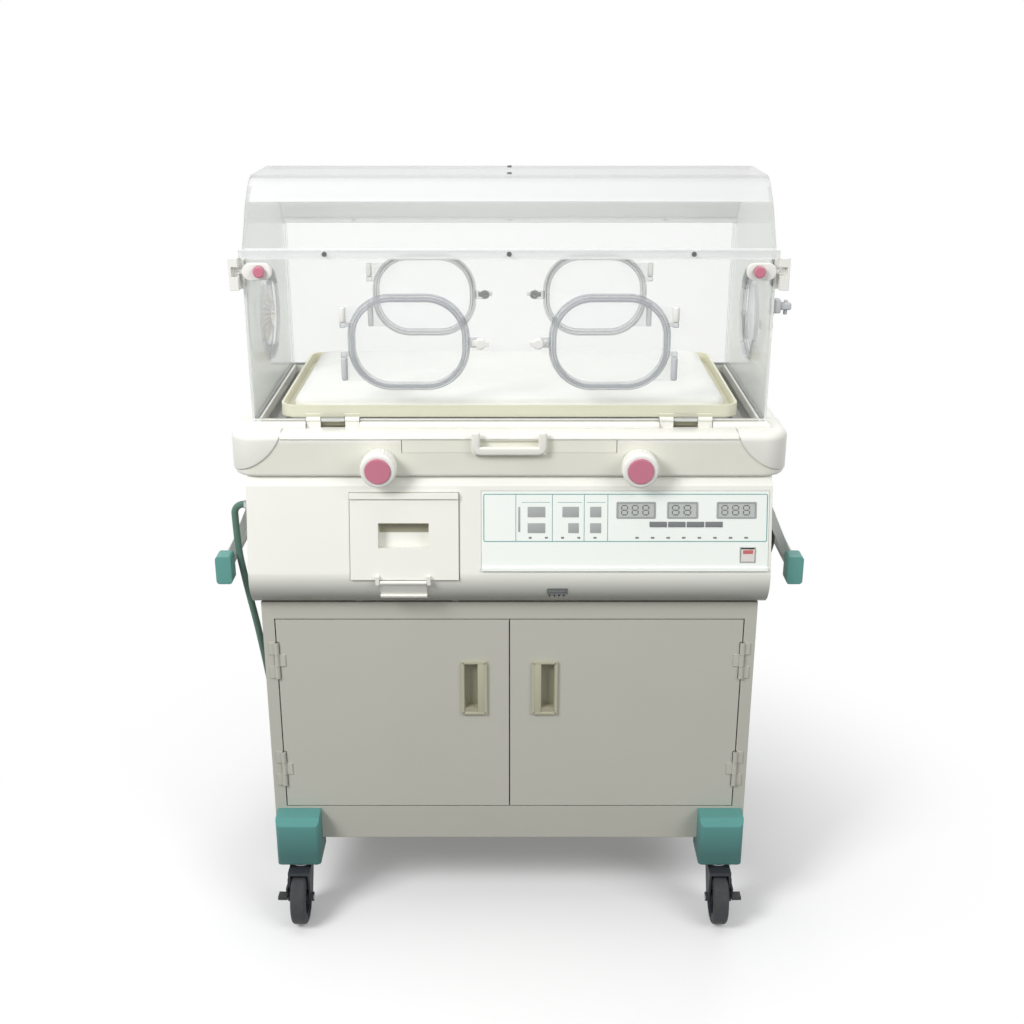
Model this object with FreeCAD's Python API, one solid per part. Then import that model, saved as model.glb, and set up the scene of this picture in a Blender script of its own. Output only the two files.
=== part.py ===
import FreeCAD, Part
import math
import os

# Infant incubator on a cabinet. Millimetres, +X to the right, +Y to the back, +Z up.
# The origin is on the floor, at the middle of the footprint.
V = FreeCAD.Vector

# Hood
HOOD_W = 872.0
HOOD_D = 417.0
HOOD_BASE_Z = 950.0
PANEL_GAP = 2.5
HOOD_SHOULDER_Z = 1225.0
HOOD_BEND_IN = 65.0
HOOD_BEND_RISE = 84.0
HOOD_TOP_IN = 113.0
HOOD_TOP_RISE = 118.0
SHEET = 5.5
FLANGE_H = 12.0
FLANGE_OUT = 4.0

# Hand ports in the front and rear panels
PORT_X = 167.0
PORT_Z = 1085.0
PORT_W = 198.0
PORT_H = 158.0
PORT_CORNER = 70.0
PORT_RING = 10.0
PORT_FLANGE = 5.0
PORT_DOOR_T = 4.0
PORT_HINGE_OUT = 9.0
PORT_LATCH_OUT = 20.0
PORT_GAP = 0.5

# Round ports in the end walls
END_PORT_D = 172.0
END_PORT_Z = 1092.0
IRIS_T = 16.0
IRIS_GRIP = 5.0
SLEEVE_T = 1.5
SLEEVE_HOLE_R = 22.0
SLEEVE_IN = 22.0

# Front panel and its corner latches
PANEL_HINGE_R = 4.5
PIN_R = 2.5
FIT = 0.05
LATCH_IN = 29.0
LATCH_DROP = 22.0
LATCH_X = HOOD_W / 2 - LATCH_IN
LATCH_Z = HOOD_SHOULDER_Z - LATCH_DROP
BUTTON_R = 9.0
BUTTON_TRAVEL = 3.0

# Base tray, deck and mattress
TRAY_SIDE = 34.0
TRAY_FRONT = 43.0
TRAY_SEAT_DROP = 13.0
TRAY_H = 74.0
TRAY_W = HOOD_W + 2 * TRAY_SIDE
TRAY_D = HOOD_D + 2 * TRAY_FRONT
TRAY_Z1 = HOOD_BASE_Z - TRAY_SEAT_DROP
TRAY_Z0 = TRAY_Z1 - TRAY_H
TRAY_WALL = 5.0
TRAY_CORNER = 42.0
DECK_RISE = 37.0
DECK_Z = TRAY_Z0 + DECK_RISE
DECK_T = 5.0
BED_SIDE = 45.0
BED_FRONT = 10.5
BED_RISE = 53.0
BED_W = HOOD_W - 2 * BED_SIDE
BED_D = HOOD_D - 2 * BED_FRONT
BED_Z = DECK_Z + BED_RISE
BED_H = 21.0
BED_WALL = 4.0
BED_FLOOR = 3.0
MATTRESS_H = 26.0
SOFT_GAP = 0.3
TILT_IN = 46.0
TILT_X = BED_W / 2 - TILT_IN
TILT_BAR_Z = DECK_Z + 27.0
TILT_BAR_H = 13.0
TILT_BAR_W = 16.0
TILT_PIN_R = 4.0
TILT_Y = BED_D / 2 - 68.0
KNOB_X = 219.0
KNOB_RISE = 21.0
KNOB_Z = TRAY_Z0 + KNOB_RISE
KNOB_R = 30.0
KNOB_L = 34.0
CAP_R = 22.0
SHAFT_R = 6.0

# Cassette tray under the deck's bed
CASSETTE_W = 360.0
CASSETTE_L = 380.0
CASSETTE_H = 15.0
PULL_W = 122.0

# Control box
BOX_SIDE = 10.0
BOX_SHOULDER_DROP = 15.0
BOX_FACE_H = 148.0
BOX_LEAN = 35.0
BOX_W = HOOD_W + 2 * BOX_SIDE
BOX_TOP_Z = TRAY_Z0 - BOX_SHOULDER_DROP
BOX_LIP_Z = BOX_TOP_Z - BOX_FACE_H
BOX_TOP_Y = TRAY_D / 2 + 3.5
BOX_LIP_Y = BOX_TOP_Y + BOX_LEAN
BOX_BACK_Y = TRAY_D / 2 - 5.5
BOX_WALL = 4.0
CONTROL_END = 5.0
CONTROL_W = 489.0
CONTROL_X1 = BOX_W / 2 - CONTROL_END
CONTROL_X0 = CONTROL_X1 - CONTROL_W
CONTROL_T = 3.0
TANK_W = 187.0
TANK_X1 = CONTROL_X0 - 37.0
TANK_X0 = TANK_X1 - TANK_W
TANK_Z0 = BOX_LIP_Z - 9.0
TANK_Z1 = BOX_TOP_Z - 10.0
TANK_L = 260.0
TANK_WALL = 3.0
TANK_SLOT_X0 = TANK_X0 + 49.0
TANK_SLOT_X1 = TANK_X1 - 52.0
TANK_SLOT_S0 = 46.0
TANK_SLOT_S1 = 88.0
TANK_CUP_T = 4.0
TANK_CLIP_X0 = TANK_X0 + 51.0
TANK_CLIP_X1 = TANK_X1 - 56.0
SWITCH_X = CONTROL_X1 - 35.0
SWITCH_SIDE = 26.0

# Cabinet and doors
COVER_Z0 = 120.0
COVER_Z1 = 215.0
CAB_SIDE = 11.0
CAB_W = BOX_W - 2 * CAB_SIDE
CAB_Z0 = COVER_Z0 + 32.0
CAB_Z1 = BOX_LIP_Z - 67.0
CAB_FRONT_Y = BOX_TOP_Y - 1.0
CAB_BACK_Y = BOX_BACK_Y - 6.0
STEEL = 2.0
DOOR_IN = 23.0
DOOR_X = CAB_W / 2 - DOOR_IN
DOOR_Z0 = CAB_Z0 + 69.0
DOOR_Z1 = CAB_Z1 - 34.0
DOOR_T = 18.0
DOOR_GAP = 2.0
PULL_X0 = 41.0
PULL_X1 = 85.0
PULL_Z0 = 414.0
PULL_Z1 = 518.0
SHELF_Z = 400.0
HINGE_R = 4.5
HINGE_L = 70.0
HINGE_ZS = (300.0, 520.0)

# Casters
WHEEL_R = 50.0
WHEEL_W = 28.0
CASTER_IN = 45.0
CASTER_X = CAB_W / 2 - CASTER_IN
CASTER_FRONT_Y = CAB_FRONT_Y + 11.0
CASTER_REAR_Y = CAB_BACK_Y - 15.0
CASTER_TRAIL = 31.0
COVER_W = 80.0
COVER_REACH = 31.0
KINGPIN_R = 8.0
KINGPIN_IN = 28.0
FORK_T = 4.0
AXLE_R = 5.0

# Side rails
RAIL_OUT = 51.0
RAIL_X = BOX_W / 2 + RAIL_OUT
RAIL_Z = BOX_LIP_Z - 10.0
RAIL_R = 11.0
RAIL_Y = TRAY_D / 2 - 35.5
RAIL_ARM_W = 20.0
RAIL_PAD_T = 5.0
RAIL_PAD_SIDE = 8.0
BLOCK_X = 28.0
BLOCK_Y = 32.0
BLOCK_Z = 51.0

# Gas hose and lead at the sides
HOSE_R = 6.0
LEAD_R = 3.5

# The middle of the hood lies this far behind the middle of the footprint.
FRONT_REACH = CASTER_FRONT_Y + CASTER_TRAIL + WHEEL_R
REAR_REACH = CASTER_REAR_Y + COVER_REACH
HOOD_Y = (FRONT_REACH - REAR_REACH) / 2

# The tray's raised seat, which carries the fixed hood walls; the front panel hangs just above it.
SEAT_Z = HOOD_BASE_Z - PANEL_GAP

NODES = {}


def add(name, *shapes):
    """Put solids that are built about the middle of the hood into one node."""
    shape = shapes[0] if len(shapes) == 1 else Part.makeCompound(list(shapes))
    shape.translate(V(0, HOOD_Y, 0))
    NODES[name] = shape


def box(x0, x1, y0, y1, z0, z1):
    return Part.makeBox(x1 - x0, y1 - y0, z1 - z0, V(x0, y0, z0))


def rod(r, start, end):
    start = V(*start)
    path = V(*end) - start
    return Part.makeCylinder(r, path.Length, start, path)


def polygon_x(points, x0, x1):
    """Extrude an outline of (y, z) points along X."""
    corners = [V(x0, y, z) for y, z in points]
    return Part.Face(Part.makePolygon(corners + corners[:1])).extrude(V(x1 - x0, 0, 0))


def rounded(width, height, radius, start, end):
    """A slab with rounded corners in X and Z, from start to end in Y, about the Y axis."""
    radius = min(radius, width / 2 - 0.01, height / 2 - 0.01)
    slab = box(-width / 2, width / 2, start, end, -height / 2, height / 2)
    edges = [e for e in slab.Edges if abs(e.tangentAt(e.FirstParameter).y) > 0.99]
    return slab.makeFillet(radius, edges)


def rounded_plan(x0, x1, y0, y1, z0, z1, radius):
    """A block whose four upright edges are rounded."""
    block = box(x0, x1, y0, y1, z0, z1)
    edges = [e for e in block.Edges if abs(e.tangentAt(e.FirstParameter).z) > 0.99]
    return block.makeFillet(radius, edges)


def moved(shape, x=0.0, y=0.0, z=0.0):
    copy = shape.copy()
    copy.translate(V(x, y, z))
    return copy


def turned(shape, degrees, axis=V(0, 0, 1), about=V(0, 0, 0)):
    copy = shape.copy()
    copy.rotate(about, axis, degrees)
    return copy


def mirror_x(shape):
    return shape.mirror(V(0, 0, 0), V(1, 0, 0))


def mirror_y(shape):
    return shape.mirror(V(0, 0, 0), V(0, 1, 0))


def both_sides(shape):
    return [shape, mirror_x(shape)]


# Hood outline as (y, z) points, front to back over the top, set in from the outside.
def hood_outline(inset, bottom):
    half = HOOD_D / 2
    slope = math.atan2(HOOD_BEND_RISE, HOOD_BEND_IN)
    upper = math.atan2(HOOD_TOP_RISE - HOOD_BEND_RISE, HOOD_TOP_IN - HOOD_BEND_IN)
    lower_turn = (math.pi / 2 - slope) / 2
    middle_turn = (slope - upper) / 2
    top_turn = upper / 2
    front = [
        (half - inset, bottom),
        (half - inset, HOOD_SHOULDER_Z - inset * math.tan(lower_turn)),
        (half - HOOD_BEND_IN - inset * (math.sin(slope) - math.cos(slope) * math.tan(middle_turn)),
         HOOD_SHOULDER_Z + HOOD_BEND_RISE - inset * (math.cos(slope) + math.sin(slope) * math.tan(middle_turn))),
        (half - HOOD_TOP_IN - inset * math.tan(top_turn), HOOD_SHOULDER_Z + HOOD_TOP_RISE - inset),
    ]
    return [(-y, z) for y, z in front] + list(reversed(front))


def hood_prism(inset, bottom, x0, x1):
    """The hood's outline as a solid, with its four upper bends rounded."""
    prism = polygon_x(hood_outline(inset, bottom), x0, x1)
    edges = [e for e in prism.Edges
             if abs(e.tangentAt(e.FirstParameter).x) > 0.99
             and e.CenterOfMass.z > HOOD_SHOULDER_Z + HOOD_BEND_RISE / 2]
    return prism.makeFillet(HOOD_BEND_RADIUS - inset, edges)


HOOD_BEND_RADIUS = 60.0


def hood_shell():
    half = HOOD_W / 2
    shell = hood_prism(0.0, HOOD_SHOULDER_Z, -half, half)
    shell = shell.cut(hood_prism(SHEET, HOOD_SHOULDER_Z - SHEET, -half - 1, half + 1))
    front = -HOOD_D / 2
    flange = box(-half - FLANGE_OUT, half + FLANGE_OUT, front - FLANGE_OUT, front + SHEET,
                 HOOD_SHOULDER_Z, HOOD_SHOULDER_Z + FLANGE_H)
    flange = flange.cut(hood_prism(SHEET, HOOD_SHOULDER_Z - SHEET, -half - 9, half + 9))
    return shell.fuse([flange, mirror_y(flange)]).removeSplitter()


def port_hole(width, height, corner):
    """What a port cuts out of the panel that carries it."""
    return rounded(width - PORT_RING, height - PORT_RING, corner - PORT_RING / 2, -1.0, SHEET + 1.0)


# Port pieces are built with the panel's outer face at y = 0, facing -Y, with the hinge on the left.
PORT_AXIS_Y = -(PORT_FLANGE + PORT_GAP + PORT_DOOR_T / 2)


def port_hinge_x(width):
    return -width / 2 - PORT_HINGE_OUT


def port_latch_x(width):
    return width / 2 + PORT_LATCH_OUT


KNUCKLES = ((-63.0, -24.0, 1), (35.0, 61.0, -1))
PORT_PIN_R = 2.0
KNUCKLE_R = 4.5
LUG = 8.0
LATCH_R = 9.0
LATCH_PIN_R = 3.0
LATCH_T = 13.0
NOSE = 13.0


def port_ring(width, height, corner, hinged=True):
    """The ring that lines the hole, with the hinge lugs and the latch post."""
    flange = rounded(width, height, corner, -PORT_FLANGE, 0)
    body = rounded(width - PORT_RING, height - PORT_RING, corner - PORT_RING / 2, -1, SHEET + 2)
    hole = rounded(width - 2 * PORT_RING, height - 2 * PORT_RING, corner - PORT_RING, -9, SHEET + 9)
    ring = flange.fuse(body).cut(hole)
    solids = []
    if hinged:
        x = port_hinge_x(width)
        for low, high, side in KNUCKLES:
            lug_z = high + PORT_GAP if side > 0 else low - PORT_GAP - LUG
            pin_end = low + 2 if side > 0 else high - 2
            lug = box(x - KNUCKLE_R, x + KNUCKLE_R, PORT_AXIS_Y - KNUCKLE_R, 0, lug_z, lug_z + LUG)
            strap = box(x, -width / 2 + PORT_RING, -PORT_FLANGE + 1, 0, lug_z, lug_z + LUG)
            pin = rod(PORT_PIN_R, (x, PORT_AXIS_Y, lug_z + LUG / 2), (x, PORT_AXIS_Y, pin_end))
            ring = ring.fuse([lug, strap, pin])
        latch_x = port_latch_x(width)
        bridge = box(width / 2 - PORT_RING / 2, latch_x, -PORT_FLANGE, 0, -LUG, LUG)
        post = rod(LUG, (latch_x, -PORT_FLANGE, 0), (latch_x, 0, 0))
        pin = rod(LATCH_PIN_R, (latch_x, 0, 0), (latch_x, -PORT_FLANGE - LATCH_T + 3, 0))
        ring = ring.fuse([bridge, post, pin])
        ring = ring.cut(hole)
    solids.append(ring.removeSplitter())
    return solids[0]


def port_door(width, height, corner):
    """The clear door that closes a port, with its two knuckles and its ear."""
    front = -(PORT_FLANGE + PORT_GAP + PORT_DOOR_T)
    back = -(PORT_FLANGE + PORT_GAP)
    inset = 4.0
    door = rounded(width - inset, height - inset, corner - inset / 2, front, back)
    rim = rounded(width - inset, height - inset, corner - inset / 2, front - 3, front + 1)
    rim = rim.cut(rounded(width - inset - 16, height - inset - 16, corner - inset / 2 - 8, front - 9, front))
    door = door.fuse(rim)
    x = port_hinge_x(width)
    for low, high, side in KNUCKLES:
        arm = box(x, -width / 2 + 24, front, back, low, high)
        knuckle = rod(KNUCKLE_R, (x, PORT_AXIS_Y, low), (x, PORT_AXIS_Y, high))
        door = door.fuse([arm, knuckle])
    ear = box(width / 2 - 14, port_latch_x(width) - NOSE - 2, front, back, -6, 6)
    door = door.fuse(ear).removeSplitter()
    for low, high, side in KNUCKLES:
        bottom = low + 1.5 if side > 0 else low - 1
        top = high + 1 if side > 0 else high - 1.5
        door = door.cut(rod(PORT_PIN_R + FIT, (x, PORT_AXIS_Y, bottom), (x, PORT_AXIS_Y, top)))
    return door


def port_latch(width):
    """The turning latch knob, whose nose points at the door's ear."""
    x = port_latch_x(width)
    back = -PORT_FLANGE - PORT_GAP
    knob = rod(LATCH_R, (x, back, 0), (x, back - LATCH_T, 0))
    rim = [e for e in knob.Edges if abs(e.CenterOfMass.y - back + LATCH_T) < 0.01]
    knob = knob.makeFillet(2.5, rim)
    nose = box(x - NOSE - 0.8, x, back - 5, back, -4.5, 4.5)
    grip = box(x - 2.5, x + LATCH_R + 5, back - LATCH_T, back - LATCH_T + 7, -4, 4)
    latch = knob.fuse([nose, grip])
    bore = rod(LATCH_PIN_R + FIT, (x, 1, 0), (x, -PORT_FLANGE - LATCH_T + 2, 0))
    return latch.cut(bore).removeSplitter()


FRONT_FACE = -HOOD_D / 2


def at_panel(shape, right, rear):
    """Move a port piece from its own place to one of the four hand ports."""
    piece = moved(shape, -PORT_X, FRONT_FACE, PORT_Z)
    if right:
        piece = mirror_x(piece)
    return mirror_y(piece) if rear else piece


def at_right_wall(shape):
    """Turn a port piece to the right end wall, with its hinge at the back."""
    return moved(turned(mirror_x(shape), 90), HOOD_W / 2, 0, END_PORT_Z)


def at_left_wall(shape):
    return moved(turned(shape, -90), -HOOD_W / 2, 0, END_PORT_Z)


def panel_sheet(y0, y1, z0, z1, holes):
    half = HOOD_W / 2
    return box(-half, half, y0, y1, z0, z1).cut(holes)


def end_wall():
    """The left end wall, up to the inside of the bent shell."""
    half = HOOD_W / 2
    wall = hood_prism(SHEET, SEAT_Z, -half, -half + SHEET)
    keep = box(-half - 1, -half + 9, FRONT_FACE + SHEET + 0.5, -FRONT_FACE - SHEET, 0, 2000)
    return wall.common(keep)


def front_panel():
    holes = [at_panel(port_hole(PORT_W, PORT_H, PORT_CORNER), right, False) for right in (False, True)]
    sheet = panel_sheet(FRONT_FACE, FRONT_FACE + SHEET, HOOD_BASE_Z, HOOD_SHOULDER_Z - 1.5, holes)
    for x in PANEL_KNUCKLES:
        sheet = sheet.cut(box(x - 46, x + 46, FRONT_FACE - 1, FRONT_FACE + 9, 0, HOOD_BASE_Z + 11))
    sheet = sheet.removeSplitter()
    solids = [sheet]
    for x in PANEL_KNUCKLES:
        leaf = box(x - 19.5, x + 19.5, FRONT_FACE, FRONT_FACE + SHEET, PANEL_AXIS_Z, HOOD_BASE_Z + 11)
        knuckle = rod(PANEL_HINGE_R, (x - 19.5, PANEL_AXIS_Y, PANEL_AXIS_Z), (x + 19.5, PANEL_AXIS_Y, PANEL_AXIS_Z))
        joined = leaf.fuse(knuckle).removeSplitter()
        bore = rod(PIN_R + FIT, (x - 60, PANEL_AXIS_Y, PANEL_AXIS_Z), (x + 60, PANEL_AXIS_Y, PANEL_AXIS_Z))
        solids.append(joined.cut(bore))
    for case in both_sides(latch_case()):
        solids.append(case)
    return solids


PANEL_KNUCKLE_IN = 136.0
PANEL_KNUCKLES = (-HOOD_W / 2 + PANEL_KNUCKLE_IN, HOOD_W / 2 - PANEL_KNUCKLE_IN)
PANEL_AXIS_Y = FRONT_FACE + SHEET / 2
PANEL_AXIS_Z = HOOD_BASE_Z + 1.0
CASE_T = 8.0


def latch_case():
    """The case on the front panel's right corner that guides a button and its bolt."""
    case = rounded(46, 26, 12, FRONT_FACE - CASE_T, FRONT_FACE)
    case = moved(case, LATCH_X + 4, 0, LATCH_Z)
    bolt = rod(3.5, (LATCH_X + 20, FRONT_FACE - 4.5, LATCH_Z), (HOOD_W / 2 + 14, FRONT_FACE - 4.5, LATCH_Z))
    well = rod(BUTTON_R - 1 + 0.3, (LATCH_X, FRONT_FACE - 20, LATCH_Z), (LATCH_X, FRONT_FACE - 2, LATCH_Z))
    return case.fuse(bolt).cut(well).removeSplitter()


def panel_button():
    """The push button of the right corner latch."""
    stem = rod(BUTTON_R - 1, (LATCH_X, FRONT_FACE - CASE_T - 5, LATCH_Z),
               (LATCH_X, FRONT_FACE - 2 - BUTTON_TRAVEL - 0.2, LATCH_Z))
    cap = rod(BUTTON_R, (LATCH_X, FRONT_FACE - CASE_T - 9, LATCH_Z),
              (LATCH_X, FRONT_FACE - CASE_T - BUTTON_TRAVEL - 0.4, LATCH_Z))
    rim = [e for e in cap.Edges if abs(e.CenterOfMass.y - (FRONT_FACE - CASE_T - 9)) < 0.01]
    return cap.makeFillet(2.0, rim).fuse(stem).removeSplitter()


def latch_bracket():
    """The keeper on the right end wall, open to the front where the bolt lies."""
    x0 = HOOD_W / 2
    bracket = box(x0, x0 + 20, FRONT_FACE + SHEET + 1, FRONT_FACE + 46, LATCH_Z - 30, LATCH_Z + 22)
    ear = box(x0 + 5, x0 + 20, FRONT_FACE - 12, FRONT_FACE + SHEET + 2, LATCH_Z - 30, LATCH_Z + 22)
    notch = box(x0 + 4, x0 + 16, FRONT_FACE - 13, FRONT_FACE, LATCH_Z - 8, LATCH_Z + 8)
    return bracket.fuse(ear).cut(notch).removeSplitter()


def panel_lugs():
    """Hinge lugs that stand on the tray at both sides of each knuckle of the front panel."""
    lugs = []
    for x in PANEL_KNUCKLES:
        for side in (-1, 1):
            middle = x + side * 33
            foot = box(middle - 12, middle + 12, FRONT_FACE, FRONT_FACE + SHEET, TRAY_Z1 - 1, PANEL_AXIS_Z)
            eye = rod(PANEL_HINGE_R, (middle - 12, PANEL_AXIS_Y, PANEL_AXIS_Z),
                      (middle + 12, PANEL_AXIS_Y, PANEL_AXIS_Z))
            lugs.append(foot.fuse(eye))
    return lugs


def panel_pins():
    return [rod(PIN_R, (x - 45, PANEL_AXIS_Y, PANEL_AXIS_Z), (x + 45, PANEL_AXIS_Y, PANEL_AXIS_Z))
            for x in PANEL_KNUCKLES]


# Base tray
OPEN_X = HOOD_W / 2 - 2 * SHEET
OPEN_Y = HOOD_D / 2 - SHEET
SLOT_X = CASSETTE_W / 2 + 1.0
SLOT_Z0 = DECK_Z + DECK_T + 0.3
SLOT_H = 24.0


def base_tray():
    outer = rounded_plan(-TRAY_W / 2, TRAY_W / 2, -TRAY_D / 2, TRAY_D / 2, TRAY_Z0, TRAY_Z1, TRAY_CORNER)
    rims = [e for e in outer.Edges if abs(e.CenterOfMass.z - TRAY_Z1) < 0.01]
    outer = outer.makeFillet(12, rims)
    lows = [e for e in outer.Edges if abs(e.CenterOfMass.z - TRAY_Z0) < 0.01]
    outer = outer.makeFillet(6, lows)
    w = TRAY_WALL
    inner = rounded_plan(-TRAY_W / 2 + w, TRAY_W / 2 - w, -TRAY_D / 2 + w, TRAY_D / 2 - w,
                         TRAY_Z0 + w, TRAY_Z1 - w, TRAY_CORNER - w)
    plinth = box(-HOOD_W / 2 - 8, HOOD_W / 2 + 8, FRONT_FACE - 8, -FRONT_FACE + 8, TRAY_Z1 - w, SEAT_Z)
    bevel = [e for e in plinth.Edges if abs(e.CenterOfMass.z - SEAT_Z) < 0.01]
    plinth = plinth.makeChamfer(5, bevel)
    hollow = box(-OPEN_X, OPEN_X, -OPEN_Y, OPEN_Y, TRAY_Z0 + w, 2000)
    tray = outer.cut(inner).fuse(plinth).cut(hollow)
    ledge = box(-OPEN_X - 6, OPEN_X + 6, -OPEN_Y - 6, OPEN_Y + 6, TRAY_Z0 + w - 1, DECK_Z)
    ledge = ledge.cut(box(-OPEN_X + 8, OPEN_X - 8, -OPEN_Y + 8, OPEN_Y - 8, 0, 2000))
    tray = tray.fuse(ledge)
    for x in PANEL_KNUCKLES:
        tray = tray.cut(box(x - 46, x + 46, FRONT_FACE - 9, FRONT_FACE + SHEET + 1, TRAY_Z1 - 0.01, 2000))
    tray = tray.fuse(panel_lugs())
    slot = box(-SLOT_X, SLOT_X, -TRAY_D / 2 - 1, 0, SLOT_Z0, SLOT_Z0 + SLOT_H)
    tray = tray.cut(slot)
    for x in (-KNOB_X, KNOB_X):
        tray = tray.cut(rod(SHAFT_R + FIT, (x, -TRAY_D / 2 - 1, KNOB_Z), (x, -TRAY_D / 2 + 60, KNOB_Z)))
    for pin in panel_pins():
        tray = tray.cut(pin)
    for x in (-OPEN_X + 30, OPEN_X - 60):
        tray = tray.cut(box(x, x + 30, -120, 120, TRAY_Z0 - 1, TRAY_Z0 + w + 1))
    return tray.removeSplitter()


def deck():
    """The floor of the baby compartment, with air slots at both ends and the pivot posts."""
    plate = box(-OPEN_X + 1, OPEN_X - 1, -OPEN_Y + 1, OPEN_Y - 1, DECK_Z, DECK_Z + DECK_T)
    for x in (-OPEN_X + 16, OPEN_X - 26):
        plate = plate.cut(box(x, x + 10, -140, 140, DECK_Z - 1, DECK_Z + DECK_T + 1))
    posts = []
    for side in (-1, 1):
        y = side * (TILT_Y + TILT_BAR_W / 2 + 8)
        pivot_z = TILT_BAR_Z + TILT_BAR_H / 2
        post = box(TILT_X - 8, TILT_X + 8, y - 4, y + 4, DECK_Z + DECK_T - 1, pivot_z + 7)
        bore = rod(TILT_PIN_R + FIT, (TILT_X, y - 9, pivot_z), (TILT_X, y + 9, pivot_z))
        posts.append(post.cut(bore))
        rest = box(-TILT_X - 8, -TILT_X + 8, side * TILT_Y - 7, side * TILT_Y + 7,
                   DECK_Z + DECK_T - 1, TILT_BAR_Z - 0.3)
        posts.append(rest)
    return plate.fuse(posts).removeSplitter()


def tilt_frame():
    """The lifting frame, pivoted at its right end on the deck."""
    z0 = TILT_BAR_Z
    z1 = TILT_BAR_Z + TILT_BAR_H
    half = TILT_BAR_W / 2
    bars = []
    for y in (-TILT_Y, TILT_Y):
        bars.append(box(-TILT_X - 12, TILT_X + 12, y - half, y + half, z0, z1))
        bars.append(box(TILT_X - 20, TILT_X - 4, y - half, y + half, z1 - 1, BED_Z - 0.3))
    for x in (-TILT_X + 16, TILT_X - 36):
        bars.append(box(x, x + 16, -TILT_Y, TILT_Y, z0 + 2, z1))
    middle = (z0 + z1) / 2
    reach = TILT_Y + half + 16
    pivot = rod(TILT_PIN_R, (TILT_X, -reach, middle), (TILT_X, reach, middle))
    hinge = rod(TILT_PIN_R, (-TILT_X, -reach, middle), (-TILT_X, reach, middle))
    return bars[0].fuse(bars[1:] + [pivot, hinge]).removeSplitter()


def mattress_tray():
    """The shallow tray that holds the mattress, hinged at its left end on the frame."""
    outer = rounded_plan(-BED_W / 2, BED_W / 2, -BED_D / 2, BED_D / 2, BED_Z, BED_Z + BED_H, 26)
    w = BED_WALL
    inner = rounded_plan(-BED_W / 2 + w, BED_W / 2 - w, -BED_D / 2 + w, BED_D / 2 - w,
                         BED_Z + BED_FLOOR, BED_Z + BED_H + 5, 26 - w)
    tray = outer.cut(inner)
    middle = TILT_BAR_Z + TILT_BAR_H / 2
    for side in (-1, 1):
        y = side * (TILT_Y + TILT_BAR_W / 2 + 8)
        lug = box(-TILT_X - 9, -TILT_X + 9, y - 4, y + 4, middle - 8, BED_Z + 1)
        bore = rod(TILT_PIN_R + FIT, (-TILT_X, y - 9, middle), (-TILT_X, y + 9, middle))
        tray = tray.fuse(lug.cut(bore))
    return tray.removeSplitter()


def mattress():
    gap = BED_WALL + 8.0
    floor = BED_Z + BED_FLOOR + SOFT_GAP
    pad = rounded_plan(-BED_W / 2 + gap, BED_W / 2 - gap, -BED_D / 2 + gap, BED_D / 2 - gap,
                       floor, floor + MATTRESS_H, 24)
    tops = [e for e in pad.Edges if abs(e.CenterOfMass.z - floor - MATTRESS_H) < 0.01]
    return pad.makeFillet(8, tops)


def tilt_knob():
    """The knob at the right, its coloured cap and the spindle that drives the lift."""
    face = -TRAY_D / 2 - 0.8
    knob = rod(KNOB_R, (KNOB_X, face, KNOB_Z), (KNOB_X, face - KNOB_L, KNOB_Z))
    rim = [e for e in knob.Edges if abs(e.CenterOfMass.y - face + KNOB_L) < 0.01]
    knob = knob.makeFillet(5, rim)
    well = rod(CAP_R, (KNOB_X, face - KNOB_L + 3, KNOB_Z), (KNOB_X, face - KNOB_L - 1, KNOB_Z))
    spindle = rod(SHAFT_R, (KNOB_X, face - 2, KNOB_Z), (KNOB_X, -TRAY_D / 2 + 50, KNOB_Z))
    knob = knob.cut(well).fuse(spindle).removeSplitter()
    cap = rod(CAP_R - 0.2, (KNOB_X, face - KNOB_L + 3, KNOB_Z), (KNOB_X, face - KNOB_L - 3, KNOB_Z))
    edge = [e for e in cap.Edges if abs(e.CenterOfMass.y - face + KNOB_L + 3) < 0.01]
    return [knob, cap.makeFillet(2, edge)]


def cassette_tray():
    """The flat tray for an X-ray cassette, with its front and the finger pull."""
    half = CASSETTE_W / 2
    front = -TRAY_D / 2
    z0 = DECK_Z + DECK_T + SOFT_GAP + 0.3
    tray = box(-half + 2, half - 2, front + 4, front + 4 + CASSETTE_L, z0, z0 + CASSETTE_H)
    tray = tray.cut(box(-half + 5, half - 5, front + 14, front + CASSETTE_L, z0 + 2, z0 + CASSETTE_H + 1))
    face = box(-half, half, front, front + 6, z0, SLOT_Z0 + SLOT_H - 0.5)
    pocket = box(-PULL_W / 2 + 9, PULL_W / 2 - 9, front - 1, front + 4, z0 + 9, SLOT_Z0 + SLOT_H - 3)
    lip = box(-PULL_W / 2, PULL_W / 2, front - 10, front, z0, z0 + 9)
    cheeks = [box(x, x + 9, front - 10, front, z0, SLOT_Z0 + SLOT_H - 0.5)
              for x in (-PULL_W / 2, PULL_W / 2 - 9)]
    return tray.fuse([face, lip] + cheeks).cut(pocket).removeSplitter()


# Control box, drawn as (y, z) points from the top front edge round to the back
SLANT = math.degrees(math.atan2(BOX_LIP_Y - BOX_TOP_Y, BOX_TOP_Z - BOX_LIP_Z))


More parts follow.
